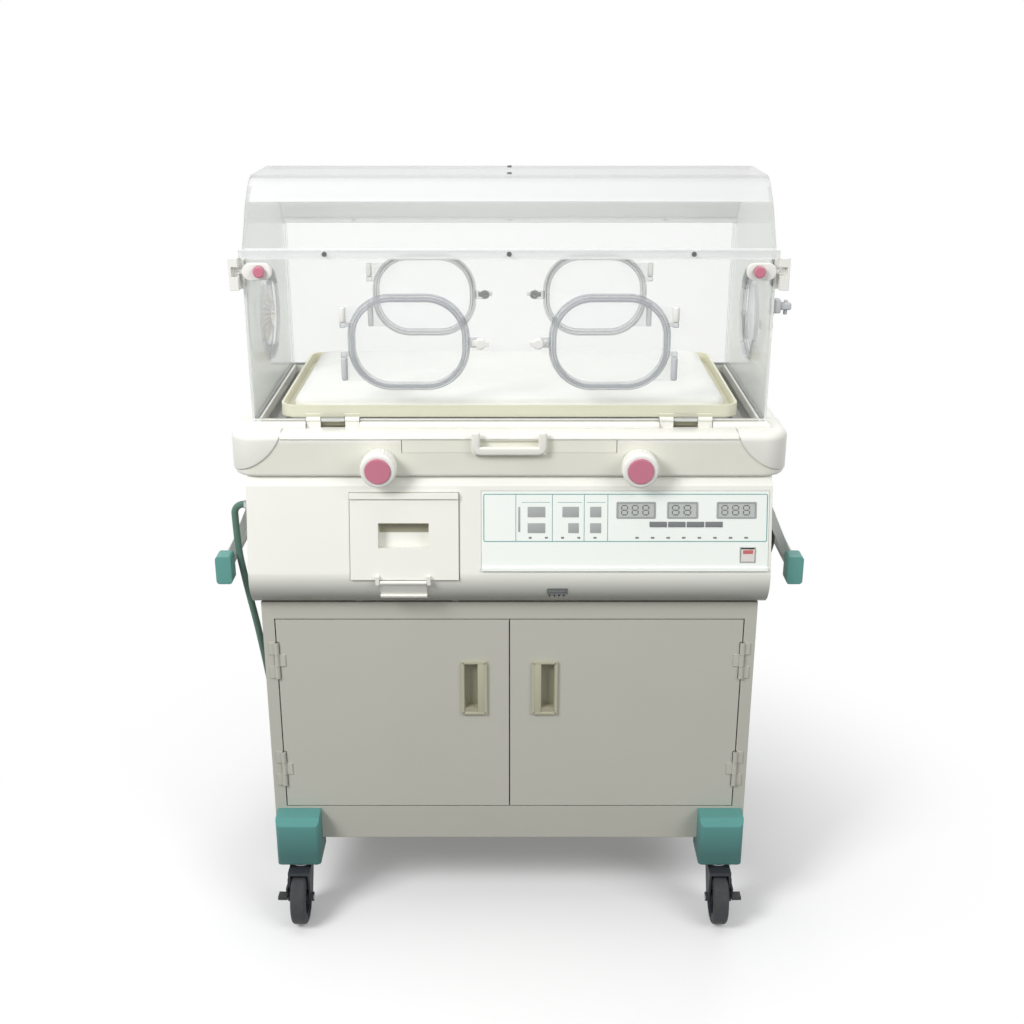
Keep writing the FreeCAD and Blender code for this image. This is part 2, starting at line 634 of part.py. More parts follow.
def box_prism(inset, x0, x1):
    """The control box's outline with its curved underside, set in by a wall."""
    t = inset
    lean = math.radians(SLANT)
    top = V(x0, -BOX_TOP_Y + 15 + t * 1.2, TRAY_Z0 - t)
    shoulder = V(x0, -BOX_TOP_Y + t / math.cos(lean), BOX_TOP_Z - t * 0.4)
    lip = V(x0, -BOX_LIP_Y + t / math.cos(lean), BOX_LIP_Z)
    belly = V(x0, -BOX_LIP_Y + 10 + t, BOX_LIP_Z - 44)
    foot = V(x0, -CAB_FRONT_Y + 14 + t, CAB_Z1 + t)
    back_low = V(x0, BOX_BACK_Y - t, CAB_Z1 + t)
    back_top = V(x0, BOX_BACK_Y - t, TRAY_Z0 - t)
    edges = [Part.makeLine(top, shoulder), Part.makeLine(shoulder, lip),
             Part.Arc(lip, belly, foot).toShape(), Part.makeLine(foot, back_low),
             Part.makeLine(back_low, back_top), Part.makeLine(back_top, top)]
    return Part.Face(Part.Wire(edges)).extrude(V(x1 - x0, 0, 0))


def on_slant(shape):
    """Lay a shape drawn on an upright face at y = 0, z = 0 onto the box's slanted front."""
    leaned = turned(shape, -SLANT, V(1, 0, 0))
    return moved(leaned, 0, -BOX_LIP_Y, BOX_LIP_Z)


SLANT_L = math.hypot(BOX_LIP_Y - BOX_TOP_Y, BOX_TOP_Z - BOX_LIP_Z)
VENT_X = 68.0
SWITCH_S = 34.0
RUNNER_Z = TANK_Z0 + 4.0


def control_housing():
    half = BOX_W / 2
    w = BOX_WALL
    housing = box_prism(0.0, -half, half).cut(box_prism(w, -half + w, half - w))
    housing = housing.cut(box(TANK_X0, TANK_X1, -BOX_LIP_Y - 99, 0, TANK_Z0, TANK_Z1))
    recess = box(CONTROL_X0, CONTROL_X1, -1, 2, 6, SLANT_L - 8)
    housing = housing.cut(on_slant(recess))
    hole = box(SWITCH_X - SWITCH_SIDE / 2 - 1, SWITCH_X + SWITCH_SIDE / 2 + 1, -9, 20,
               SWITCH_S - SWITCH_SIDE / 2 - 1, SWITCH_S + SWITCH_SIDE / 2 + 1)
    housing = housing.cut(on_slant(hole))
    for x0 in DISPLAY_XS:
        housing = housing.cut(on_slant(box(x0[0] - 1, x0[1] + 1, -1, 20,
                                           DISPLAY_S0 - DISPLAY_FRAME, DISPLAY_S1 + DISPLAY_FRAME)))
    runners = [box(x, x + 12, -BOX_TOP_Y + 2, -BOX_TOP_Y + TANK_L, CAB_Z1 + 1, RUNNER_Z - SOFT_GAP)
               for x in (TANK_X0 + 4, TANK_X1 - 16)]
    vent = [box(VENT_X + k * 8, VENT_X + k * 8 + 3, -BOX_LIP_Y - 99, -BOX_TOP_Y + 50, CAB_Z1 + 22, CAB_Z1 + 35)
            for k in range(4)]
    return housing.cut(vent).fuse(runners).removeSplitter()


DISPLAY_S0 = 99.0
DISPLAY_S1 = 123.0
DISPLAY_FRAME = 3.0
DISPLAY_XS = tuple((CONTROL_X1 - left, CONTROL_X1 - right) for left, right in ((257, 195), (171, 123), (87, 24)))


def control_panel():
    """The membrane panel let into the slanted front, with windows for the displays."""
    plate = box(CONTROL_X0 + 0.5, CONTROL_X1 - 0.5, 2 - CONTROL_T, 2, 6.5, SLANT_L - 8.5)
    lip = box(CONTROL_X0 + 0.5, CONTROL_X1 - 0.5, -4, 1, 6.5, 12)
    plate = plate.fuse(lip)
    for x0, x1 in DISPLAY_XS:
        plate = plate.cut(box(x0, x1, -9, 9, DISPLAY_S0, DISPLAY_S1))
    plate = plate.cut(box(SWITCH_X - SWITCH_SIDE / 2 - 1, SWITCH_X + SWITCH_SIDE / 2 + 1, -9, 9,
                          SWITCH_S - SWITCH_SIDE / 2 - 1, SWITCH_S + SWITCH_SIDE / 2 + 1))
    return on_slant(plate.removeSplitter())


def display_windows():
    """The display modules behind the panel's windows."""
    modules = []
    for x0, x1 in DISPLAY_XS:
        window = box(x0 + SOFT_GAP, x1 - SOFT_GAP, -0.5, 2, DISPLAY_S0 + SOFT_GAP, DISPLAY_S1 - SOFT_GAP)
        module = box(x0 - 0.5, x1 + 0.5, 2, 14, DISPLAY_S0 - 2, DISPLAY_S1 + 2)
        modules.append(on_slant(window.fuse(module)))
    return modules


SWITCH_EDGE = 1.4
SWITCH_PIVOT = 2.0
SWITCH_PIN_R = 1.5
SWITCH_PIN = 13.4


def power_switch():
    """The rocker, turning on its own short pins."""
    side = SWITCH_SIDE / 2 - SWITCH_EDGE
    outline = [(-4.5, side - 1.2), (-1.5, -side), (9, -side + 3), (12, 0), (9, side - 3)]
    rocker = polygon_x(outline, SWITCH_X - side, SWITCH_X + side)
    pin = rod(SWITCH_PIN_R, (SWITCH_X - SWITCH_PIN, SWITCH_PIVOT, 0), (SWITCH_X + SWITCH_PIN, SWITCH_PIVOT, 0))
    return on_slant(moved(rocker.fuse(pin).removeSplitter(), 0, 0, SWITCH_S))


def switch_bezel():
    """The frame that holds the rocker."""
    side = SWITCH_SIDE / 2
    inside = side - SWITCH_EDGE + 0.6
    outer = box(SWITCH_X - side - 1, SWITCH_X + side + 1, -1, 10, -side - 1, side + 1)
    inner = box(SWITCH_X - inside, SWITCH_X + inside, -9, 20, -inside, inside)
    reach = SWITCH_PIN + 0.1
    bore = rod(SWITCH_PIN_R + FIT, (SWITCH_X - reach, SWITCH_PIVOT, 0), (SWITCH_X + reach, SWITCH_PIVOT, 0))
    return on_slant(moved(outer.cut(inner).cut(bore), 0, 0, SWITCH_S))


def tank_door():
    """The front of the water tank drawer, parallel to the slanted face, with a finger slot."""
    gap = 1.0
    slab = on_slant(box(TANK_X0 + gap, TANK_X1 - gap, -3, 5, -SLANT_L, 2 * SLANT_L))
    keep = box(-BOX_W, BOX_W, -BOX_W, 0, TANK_Z0 + gap, TANK_Z1 - gap)
    front = slab.common(keep)
    strip = on_slant(box(TANK_X0 + gap, TANK_X1 - gap, -6, -2, SLANT_L - 22, SLANT_L - 12))
    slot = on_slant(box(TANK_SLOT_X0, TANK_SLOT_X1, -9, 20, TANK_SLOT_S0, TANK_SLOT_S1))
    cup = box(TANK_SLOT_X0 - TANK_CUP_T, TANK_SLOT_X1 + TANK_CUP_T, 3, 19,
              TANK_SLOT_S0 - TANK_CUP_T, TANK_SLOT_S1 + TANK_CUP_T)
    cup = on_slant(cup.cut(box(TANK_SLOT_X0, TANK_SLOT_X1, 0, 16, TANK_SLOT_S0, TANK_SLOT_S1)))
    return front.fuse(strip).cut(slot).fuse(cup).removeSplitter()


def water_tank():
    """The open water tank behind the drawer front."""
    w = TANK_WALL
    y0 = -BOX_TOP_Y + 14
    x0 = TANK_X0 + 6
    x1 = TANK_X1 - 6
    outer = box(x0, x1, y0, y0 + TANK_L - 20, RUNNER_Z, TANK_Z1 - 10)
    inner = box(x0 + w, x1 - w, y0 + w, y0 + TANK_L - 20 - w, RUNNER_Z + w, TANK_Z1)
    ties = [box(x, x + 10, -BOX_TOP_Y - 12, y0 + 1, RUNNER_Z + 6, RUNNER_Z + 20) for x in (x0 + 2, x1 - 12)]
    door_space = on_slant(box(TANK_X0, TANK_X1, -20, 5, -SLANT_L, 2 * SLANT_L))
    return outer.cut(inner).fuse([t.cut(door_space) for t in ties]).removeSplitter()


LATCH_PIVOT = (-BOX_LIP_Y - 7.0, TANK_Z0 - 3.0)
CLIP_H = 28.0
CLIP_LEAN = 26.0


def tank_latch():
    """The clip at the foot of the tank door, hanging under the box's lip."""
    y, z = LATCH_PIVOT
    x0 = TANK_CLIP_X0
    x1 = TANK_CLIP_X1
    barrel = rod(3.5, (x0, y, z), (x1, y, z))
    plate = box(x0, x1, y - 2, y, z - CLIP_H, z)
    lip = box(x0, x1, y - 7, y, z - CLIP_H - 3, z - CLIP_H + 1)
    bore = rod(1.5 + FIT, (x0 - 9, y, z), (x1 + 9, y, z))
    clip = barrel.fuse([plate, lip]).cut(bore).removeSplitter()
    return turned(clip, CLIP_LEAN, V(1, 0, 0), V(0, y, z))


def latch_pivot():
    """The ears and pin that carry the clip on the tank door."""
    y, z = LATCH_PIVOT
    pin = rod(1.5, (TANK_CLIP_X0 - 7, y, z), (TANK_CLIP_X1 + 7, y, z))
    ears = []
    for x in (TANK_CLIP_X0 - 7, TANK_CLIP_X1 + 0.5):
        ears.append(box(x, x + 6.5, y - 3.5, -BOX_LIP_Y - 1.6, z - 3.5, TANK_Z0 + 9))
    return ears[0].fuse([ears[1], pin])


# Air unit and electronics in the control box
FAN_X = CONTROL_X0 + 188.0
FAN_Y = 70.0
FLOOR_Z = CAB_Z1 + BOX_WALL


def fan_motor():
    motor = rod(42, (FAN_X, FAN_Y, FLOOR_Z), (FAN_X, FAN_Y, FLOOR_Z + 92))
    flange = rod(52, (FAN_X, FAN_Y, FLOOR_Z), (FAN_X, FAN_Y, FLOOR_Z + 5))
    shaft = rod(4, (FAN_X, FAN_Y, FLOOR_Z + 90), (FAN_X, FAN_Y, FLOOR_Z + 150))
    return motor.fuse([flange, shaft])


def fan_impeller():
    """A blower wheel with a backplate, a hub and curved blades."""
    z0 = FLOOR_Z + 98
    plate = rod(62, (0, 0, z0), (0, 0, z0 + 3))
    hub = rod(12, (0, 0, z0), (0, 0, z0 + 44))
    rim = rod(62, (0, 0, z0 + 41), (0, 0, z0 + 44)).cut(rod(52, (0, 0, z0 + 40), (0, 0, z0 + 45)))
    wheel = plate.fuse([hub, rim])
    blade = turned(box(50, 61.5, -1, 1, z0 + 2, z0 + 42), 35, about=V(56, 0, 0))
    wheel = wheel.fuse([turned(blade, k * 360 / BLADES) for k in range(BLADES)])
    wheel = wheel.cut(rod(4 + FIT, (0, 0, z0 - 1), (0, 0, z0 + 60)))
    return moved(wheel.removeSplitter(), FAN_X, FAN_Y, 0)


BLADES = 24


def heater():
    """A finned heating element on two feet."""
    y0 = FAN_Y - 60
    bar = rod(9, (FAN_X + 100, y0, FLOOR_Z + 105), (FAN_X + 100, y0 + 120, FLOOR_Z + 105))
    fins = [box(FAN_X + 76, FAN_X + 124, y0 + 8 + k * 8, y0 + 10 + k * 8, FLOOR_Z + 81, FLOOR_Z + 129)
            for k in range(14)]
    feet = [box(FAN_X + 92, FAN_X + 108, y, y + 4, FLOOR_Z, FLOOR_Z + 106) for y in (y0, y0 + 116)]
    return bar.fuse(fins + feet).removeSplitter()


BOARD_W = 360.0
BOARD_H = 190.0
BOARD_T = 2.0
SUPPLY_W = 138.0
SUPPLY_D = 136.0


def circuit_boards():
    """The controller board behind the displays and the supply board on the floor."""
    boards = []
    y = -BOX_TOP_Y + 60
    x1 = BOX_W / 2 - 26
    upright = box(x1 - BOARD_W, x1, y, y + BOARD_T, FLOOR_Z, FLOOR_Z + BOARD_H)
    parts = [box(x, x + 34, y + BOARD_T, y + 17, FLOOR_Z + 60, FLOOR_Z + 94)
             for x in (x1 - BOARD_W + 30, x1 - BOARD_W / 2 - 50, x1 - 120)]
    boards.append(upright.fuse(parts))
    x0 = CONTROL_X0 - 16
    y0 = -BOX_TOP_Y + 91
    feet = [box(x, x + 8, y, y + 8, FLOOR_Z, FLOOR_Z + 13)
            for x in (x0 + 4, x0 + SUPPLY_W - 12) for y in (y0 + 4, y0 + SUPPLY_D - 12)]
    flat = box(x0, x0 + SUPPLY_W, y0, y0 + SUPPLY_D, FLOOR_Z + 12, FLOOR_Z + 12 + BOARD_T)
    blocks = [box(x0 + 24, x0 + 64, y0 + 24, y0 + 74, FLOOR_Z + 14, FLOOR_Z + 54),
              rod(14, (x0 + 104, y0 + 94, FLOOR_Z + 14), (x0 + 104, y0 + 94, FLOOR_Z + 62))]
    boards.append(flat.fuse(feet + blocks))
    return boards


# Cabinet
def hinge_notch(z0, z1, x=-DOOR_X - 1.0):
    return box(x - HINGE_R - 0.8, x + HINGE_R + 0.8, HINGE_Y - HINGE_R - 0.8, HINGE_Y + HINGE_R + 0.8, z0, z1)


HINGE_Y = -CAB_FRONT_Y - 1.0
HINGE_X = DOOR_X + 1.0


def cabinet_shell():
    half = CAB_W / 2
    t = STEEL
    shell = box(-half, half, -CAB_FRONT_Y, CAB_BACK_Y, CAB_Z0, CAB_Z1)
    hollow = box(-half + t, half - t, -CAB_FRONT_Y + DOOR_T + 4, CAB_BACK_Y - t, CAB_Z0 + t, CAB_Z1 - t)
    doorway = box(-DOOR_X - DOOR_GAP, DOOR_X + DOOR_GAP, -CAB_FRONT_Y - 1, 0, DOOR_Z0 - DOOR_GAP, DOOR_Z1 + DOOR_GAP)
    shell = shell.cut(hollow).cut(doorway)
    shelf = box(-half + 1, half - 1, -CAB_FRONT_Y + 40, CAB_BACK_Y - 1, SHELF_Z, SHELF_Z + t)
    shell = shell.fuse(shelf)
    for middle in HINGE_ZS:
        for z0 in (middle - HINGE_L / 2, middle + HINGE_L / 6):
            knuckle = rod(HINGE_R, (-HINGE_X, HINGE_Y, z0), (-HINGE_X, HINGE_Y, z0 + HINGE_L / 3 - 0.5))
            leaf = box(-HINGE_X - 14, -HINGE_X, -CAB_FRONT_Y - 1.5, -CAB_FRONT_Y + 1, z0, z0 + HINGE_L / 3 - 0.5)
            for piece in both_sides(knuckle.fuse(leaf)):
                shell = shell.fuse(piece)
        gap = box(-HINGE_X - HINGE_R - 0.6, -DOOR_X, -CAB_FRONT_Y - 1, HINGE_Y + HINGE_R + 1,
                  middle - HINGE_L / 6 - 0.5, middle + HINGE_L / 6)
        for piece in both_sides(gap):
            shell = shell.cut(piece)
        for pin in both_sides(hinge_pin(middle)):
            shell = shell.cut(pin)
    return shell.removeSplitter()


def hinge_pin(middle):
    return rod(PIN_R, (-HINGE_X, HINGE_Y, middle - HINGE_L / 2 - 1), (-HINGE_X, HINGE_Y, middle + HINGE_L / 2 + 1))


def cabinet_door():
    """The left door: a folded pan with two knuckles and the moulded pull."""
    x0 = -DOOR_X
    x1 = -DOOR_GAP / 2
    front = -CAB_FRONT_Y
    pan = box(x0, x1, front, front + DOOR_T, DOOR_Z0, DOOR_Z1)
    pan = pan.cut(box(x0 + STEEL, x1 - STEEL, front + STEEL, front + DOOR_T + 1, DOOR_Z0 + STEEL, DOOR_Z1 - STEEL))
    rim = 4.0
    hole = box(-PULL_X1 + rim, -PULL_X0 - rim, front - 1, front + 5, PULL_Z0 + rim, PULL_Z1 - rim)
    pan = pan.cut(hole)
    for middle in HINGE_ZS:
        low = middle - HINGE_L / 6
        high = middle + HINGE_L / 6 - 0.5
        knuckle = rod(HINGE_R, (-HINGE_X, HINGE_Y, low), (-HINGE_X, HINGE_Y, high))
        leaf = box(-HINGE_X, -HINGE_X + 15, front - 1.5, front + 1, low, high)
        pan = pan.fuse(knuckle.fuse(leaf))
        for z0, z1 in ((middle - HINGE_L / 2 - 1, low - 0.5), (high + 0.5, middle + HINGE_L / 2 + 1)):
            pan = pan.cut(hinge_notch(z0, z1))
        pan = pan.cut(rod(PIN_R + FIT, (-HINGE_X, HINGE_Y, low - 5), (-HINGE_X, HINGE_Y, high + 5)))
    cup = box(-PULL_X1 + rim, -PULL_X0 - rim, front - 2, front + 15, PULL_Z0 + rim, PULL_Z1 - rim)
    bezel = box(-PULL_X1, -PULL_X0, front - 2.5, front, PULL_Z0, PULL_Z1)
    hollow = box(-PULL_X1 + rim + 1.5, -PULL_X0 - rim - 11, front - 9, front + 13.5,
                 PULL_Z0 + rim + 8, PULL_Z1 - rim - 1.5)
    pull = cup.fuse(bezel).cut(hollow).removeSplitter()
    return [pan.removeSplitter(), pull]


# Casters
def caster_points():
    """Name, side and kingpin place of each caster; all trail to the front."""
    for tag, x, y in (("front_left", -CASTER_X, -CASTER_FRONT_Y), ("front_right", CASTER_X, -CASTER_FRONT_Y),
                      ("rear_left", -CASTER_X, CASTER_REAR_Y), ("rear_right", CASTER_X, CASTER_REAR_Y)):
        yield tag, x, y


CROWN_Z = COVER_Z0 - 4.0


def caster_fork():
    """Kingpin, crown and two legs, about a kingpin at x = 0, y = 0, with the axle bolt."""
    kingpin = rod(KINGPIN_R, (0, 0, CROWN_Z - 6), (0, 0, COVER_Z0 + KINGPIN_IN - 1))
    race = rod(20, (0, 0, CROWN_Z - 12), (0, 0, CROWN_Z))
    inner = WHEEL_W / 2 + 2
    outer = inner + FORK_T
    y = -CASTER_TRAIL
    crown = box(-outer, outer, y - 14, 16, CROWN_Z - 12, CROWN_Z - 6)
    leg_outline = [(16, CROWN_Z - 6), (y - 14, CROWN_Z - 6), (y - 12, WHEEL_R - 8), (y + 12, WHEEL_R - 8)]
    legs = [polygon_x(leg_outline, side * inner, side * outer) for side in (-1, 1)]
    fork = kingpin.fuse([race, crown] + legs)
    hole = rod(AXLE_R, (-outer - 1, y, WHEEL_R), (outer + 1, y, WHEEL_R))
    fork = fork.cut(hole).removeSplitter()
    bolt = rod(AXLE_R, (-outer, y, WHEEL_R), (outer, y, WHEEL_R))
    head = rod(8.5, (outer, y, WHEEL_R), (outer + 4, y, WHEEL_R))
    nut = rod(8.5, (-outer - 4, y, WHEEL_R), (-outer, y, WHEEL_R))
    return [fork, bolt.fuse([head, nut]).removeSplitter()]


def caster_wheel():
    """Hub with a bearing bore, and the tyre on it."""
    half = WHEEL_W / 2
    y = -CASTER_TRAIL
    tyre = rod(WHEEL_R, (-half, y, WHEEL_R), (half, y, WHEEL_R))
    edges = [e for e in tyre.Edges if abs(abs(e.CenterOfMass.x) - half) < 0.01]
    tyre = tyre.makeFillet(6, edges)
    rim_r = WHEEL_R - 13
    tyre = tyre.cut(rod(rim_r, (-half - 1, y, WHEEL_R), (half + 1, y, WHEEL_R)))
    web = rod(rim_r, (-5, y, WHEEL_R), (5, y, WHEEL_R))
    ring = rod(rim_r, (-half + 2, y, WHEEL_R), (half - 2, y, WHEEL_R))
    ring = ring.cut(rod(rim_r - 5, (-half, y, WHEEL_R), (half, y, WHEEL_R)))
    nave = rod(13, (-half - 1, y, WHEEL_R), (half + 1, y, WHEEL_R))
    hub = web.fuse([ring, nave]).cut(rod(AXLE_R + FIT, (-half - 9, y, WHEEL_R), (half + 9, y, WHEEL_R)))
    return [tyre, hub.removeSplitter()]


PEDAL_PIVOT = (-CASTER_TRAIL + 16.0, WHEEL_R + 24.0)


def brake_pedal():
    """The brake lever on the outer side of a front caster, on a short pin of its own."""
    y, z = PEDAL_PIVOT
    x0 = WHEEL_W / 2 + 2 + FORK_T + SOFT_GAP
    arm = box(x0, x0 + 4, y - 34, y + 6, z - 6, z + 6)
    eye = rod(8, (x0, y, z), (x0 + 4, y, z))
    pad = box(x0, x0 + 17, y - 48, y - 30, z - 9, z - 3)
    bore = rod(3 + FIT, (x0 - 1, y, z), (x0 + 9, y, z))
    return arm.fuse([eye, pad]).cut(bore).removeSplitter()


def pedal_pin():
    """The pin on the fork that the brake lever turns on."""
    y, z = PEDAL_PIVOT
    x0 = WHEEL_W / 2 + 2 + FORK_T
    return rod(3, (x0, y, z), (x0 + 5, y, z)).fuse(rod(5, (x0 + 4.6, y, z), (x0 + 6.5, y, z)))


def caster_cover(y_sign):
    """A corner bracket under the cabinet that holds the kingpin, about the kingpin."""
    half = COVER_W / 2
    reach = COVER_REACH
    outline = [(-reach, COVER_Z0), (-reach, COVER_Z1 - 14), (-reach + 10, COVER_Z1), (11, COVER_Z1),
               (11, CAB_Z0), (44, CAB_Z0), (44, COVER_Z0)]
    block = polygon_x(outline, -half, half)
    fronts = [e for e in block.Edges if abs(e.tangentAt(e.FirstParameter).z) > 0.9
              and abs(e.CenterOfMass.y + reach) < 1]
    block = block.makeFillet(8, fronts)
    bore = rod(KINGPIN_R + FIT, (0, 0, COVER_Z0 - 1), (0, 0, COVER_Z0 + KINGPIN_IN))
    block = block.cut(bore)
    return block if y_sign < 0 else mirror_y(block)


# Side rails
def side_rail():
    """The right grab rail: a tube along the side on two bent arms."""
    half = BOX_W / 2
    tube = rod(RAIL_R, (RAIL_X, -RAIL_Y, RAIL_Z), (RAIL_X, RAIL_Y, RAIL_Z))
    arms = []
    for y in (-RAIL_Y + 26, RAIL_Y - 46):
        outline = [(half, BOX_TOP_Z - 26), (half, BOX_TOP_Z - 62), (RAIL_X - 6, RAIL_Z - 4), (RAIL_X + 6, RAIL_Z + 4)]
        corners = [V(x, y, z) for x, z in outline]
        arm = Part.Face(Part.makePolygon(corners + corners[:1])).extrude(V(0, RAIL_ARM_W, 0))
        arms.append(arm)
    pads = [box(half, half + RAIL_PAD_T, y - RAIL_PAD_SIDE, y + RAIL_ARM_W + RAIL_PAD_SIDE,
                BOX_TOP_Z - 68, BOX_TOP_Z - 20)
            for y in (-RAIL_Y + 26, RAIL_Y - 46)]
    return tube.fuse(arms + pads).removeSplitter()


def rail_block(y0):
    """An end block of the right rail."""
    block = box(RAIL_X - BLOCK_X / 2, RAIL_X + BLOCK_X / 2, y0, y0 + BLOCK_Y, RAIL_Z - BLOCK_Z / 2, RAIL_Z + BLOCK_Z / 2)
    edges = [e for e in block.Edges if abs(e.tangentAt(e.FirstParameter).y) > 0.99]
    return block.makeFillet(6, edges)


# Hoses follow straight runs joined by tangent arcs.
def bent_tube(radius, points):
    pts = [V(*p) for p in points]
    edges = []
    last = pts[0]
    radii = []
    for before, corner, after in zip(pts, pts[1:], pts[2:]):
        into = (corner - before).normalize()
        out = (after - corner).normalize()
        half_turn = into.getAngle(out) / 2
        first = 0.9 if before is pts[0] else 0.45
        final = 0.9 if after is pts[-1] else 0.45
        cut = min(first * (corner - before).Length, final * (after - corner).Length)
        radii.append(round(cut / math.tan(half_turn), 1))
        start = corner - into * cut
        end = corner + out * cut
        toward = ((start + end) * 0.5 - corner).normalize()
        arc_r = cut / math.tan(half_turn)
        middle = corner + toward * (arc_r / math.cos(half_turn) - arc_r)
        edges.append(Part.makeLine(last, start))
        edges.append(Part.Arc(start, middle, end).toShape())
        last = end
    edges.append(Part.makeLine(last, pts[-1]))
    path = Part.Wire(edges)
    profile = Part.Wire(Part.makeCircle(radius, pts[0], pts[1] - pts[0]))
    tube = path.makePipeShell([profile], True, False)
    expected = math.pi * radius ** 2 * path.Length
    print("tube", round(path.Length, 1), "radii", radii, "volume ratio", round(tube.Volume / expected, 4))
    return tube


HOSE_Y = -RAIL_Y + 4.0
HOSE_ALONG = 272.0
INLET = (-BOX_W / 2, HOSE_Y, BOX_TOP_Z - 48.0)
OUTLET = (-CAB_W / 2, HOSE_Y + HOSE_ALONG, CAB_Z0 + 83.0)
FITTING_L = 14.0
LEAD_FITTING_L = 12.0
# The hose's route as distances out from the box's side, back from the inlet and up from the floor.
HOSE_RUN = (
    (32, 0, INLET[2]),
    (31, -1, 752),
    (29, -2, 710),
    (19, 0, 640),
    (11, 16, 570),
    (8, 52, 480),
    (8, 94, 390),
    (10, 146, 310),
    (19, 208, 256),
    (25, HOSE_ALONG, OUTLET[2]),
)
HOSE_POINTS = (
    ((INLET[0] - FITTING_L, INLET[1], INLET[2]),)
    + tuple((-BOX_W / 2 - out, HOSE_Y + back, z) for out, back, z in HOSE_RUN)
    + ((OUTLET[0] - FITTING_L, OUTLET[1], OUTLET[2]),)
)
LEAD_Y = -RAIL_Y + 64.0
LEAD_ALONG = 22.0
LEAD_TOP = (BOX_W / 2, LEAD_Y, BOX_TOP_Z - 80.0)
LEAD_LOW = (BOX_W / 2, LEAD_Y + LEAD_ALONG, BOX_TOP_Z - 180.0)
LEAD_RUN = (
    (26, 0, LEAD_TOP[2]),
    (30, 3, 730),
    (30, 11, 694),
    (25, LEAD_ALONG, LEAD_LOW[2]),
)
LEAD_POINTS = (
    ((LEAD_TOP[0] + LEAD_FITTING_L, LEAD_TOP[1], LEAD_TOP[2]),)
    + tuple((BOX_W / 2 + out, LEAD_Y + back, z) for out, back, z in LEAD_RUN)
    + ((LEAD_LOW[0] + LEAD_FITTING_L, LEAD_LOW[1], LEAD_LOW[2]),)
)


def fitting(place, side, length, radius):
    """A barbed fitting that stands out of a side wall, with its nut."""
    x, y, z = place
    nut = rod(radius + 4, (x, y, z), (x + side * length * 0.45, y, z))
    body = rod(radius + 1.5, (x, y, z), (x + side * length, y, z))
    return nut.fuse(body)


def side_fittings():
    return [fitting(INLET, -1, FITTING_L, HOSE_R), fitting(OUTLET, -1, FITTING_L, HOSE_R),
            fitting(LEAD_TOP, 1, LEAD_FITTING_L, LEAD_R), fitting(LEAD_LOW, 1, LEAD_FITTING_L, LEAD_R)]


# Iris port in the left end wall, built like the other ports with the wall's outer face at y = 0
def iris_ring():
    r = END_PORT_D / 2
    y0 = -PORT_FLANGE - PORT_GAP
    ring = rod(r - 2, (0, y0, 0), (0, y0 - IRIS_T, 0))
    ring = ring.cut(rod(r - PORT_RING - 2, (0, y0 + 1, 0), (0, y0 - IRIS_T - 1, 0)))
    grip = box(r - 4, r - 2 + IRIS_GRIP, y0 - IRIS_T, y0, -7, 7)
    return ring.fuse([turned(grip, k * 30, V(0, 1, 0)) for k in range(12)]).removeSplitter()


def iris_sleeve():
    """The gathered film inside the iris, a shallow funnel with a small hole."""
    r = END_PORT_D / 2 - PORT_RING - 2
    y0 = -PORT_FLANGE - PORT_GAP - 8
    outer = Part.makeCone(r, SLEEVE_HOLE_R, SLEEVE_IN, V(0, y0, 0), V(0, 1, 0))
    inner = Part.makeCone(r, SLEEVE_HOLE_R, SLEEVE_IN, V(0, y0 - SLEEVE_T, 0), V(0, 1, 0))
    hole = rod(SLEEVE_HOLE_R - 0.01, (0, -99, 0), (0, 99, 0))
    return outer.cut(inner).cut(hole)


SCREW_X = HOOD_W / 2 - 136.0
SCREW_TOP_Y = 60.0


def hood_screws():
    """Small screws that hold the bent shell: on the front slope, the top and the flange."""
    screws = []
    flange_z = HOOD_SHOULDER_Z + FLANGE_H / 2
    for x in (-SCREW_X, 0.0, SCREW_X):
        y = FRONT_FACE - FLANGE_OUT
        screws.append(rod(4, (x, y, flange_z), (x, y - 2.5, flange_z)))
        screws.append(rod(4, (x, -y, flange_z), (x, -y + 2.5, flange_z)))
    top = HOOD_SHOULDER_Z + HOOD_TOP_RISE
    for y in (-SCREW_TOP_Y, SCREW_TOP_Y):
        screws.append(rod(4, (0, y, top), (0, y, top + 2)))
    return screws


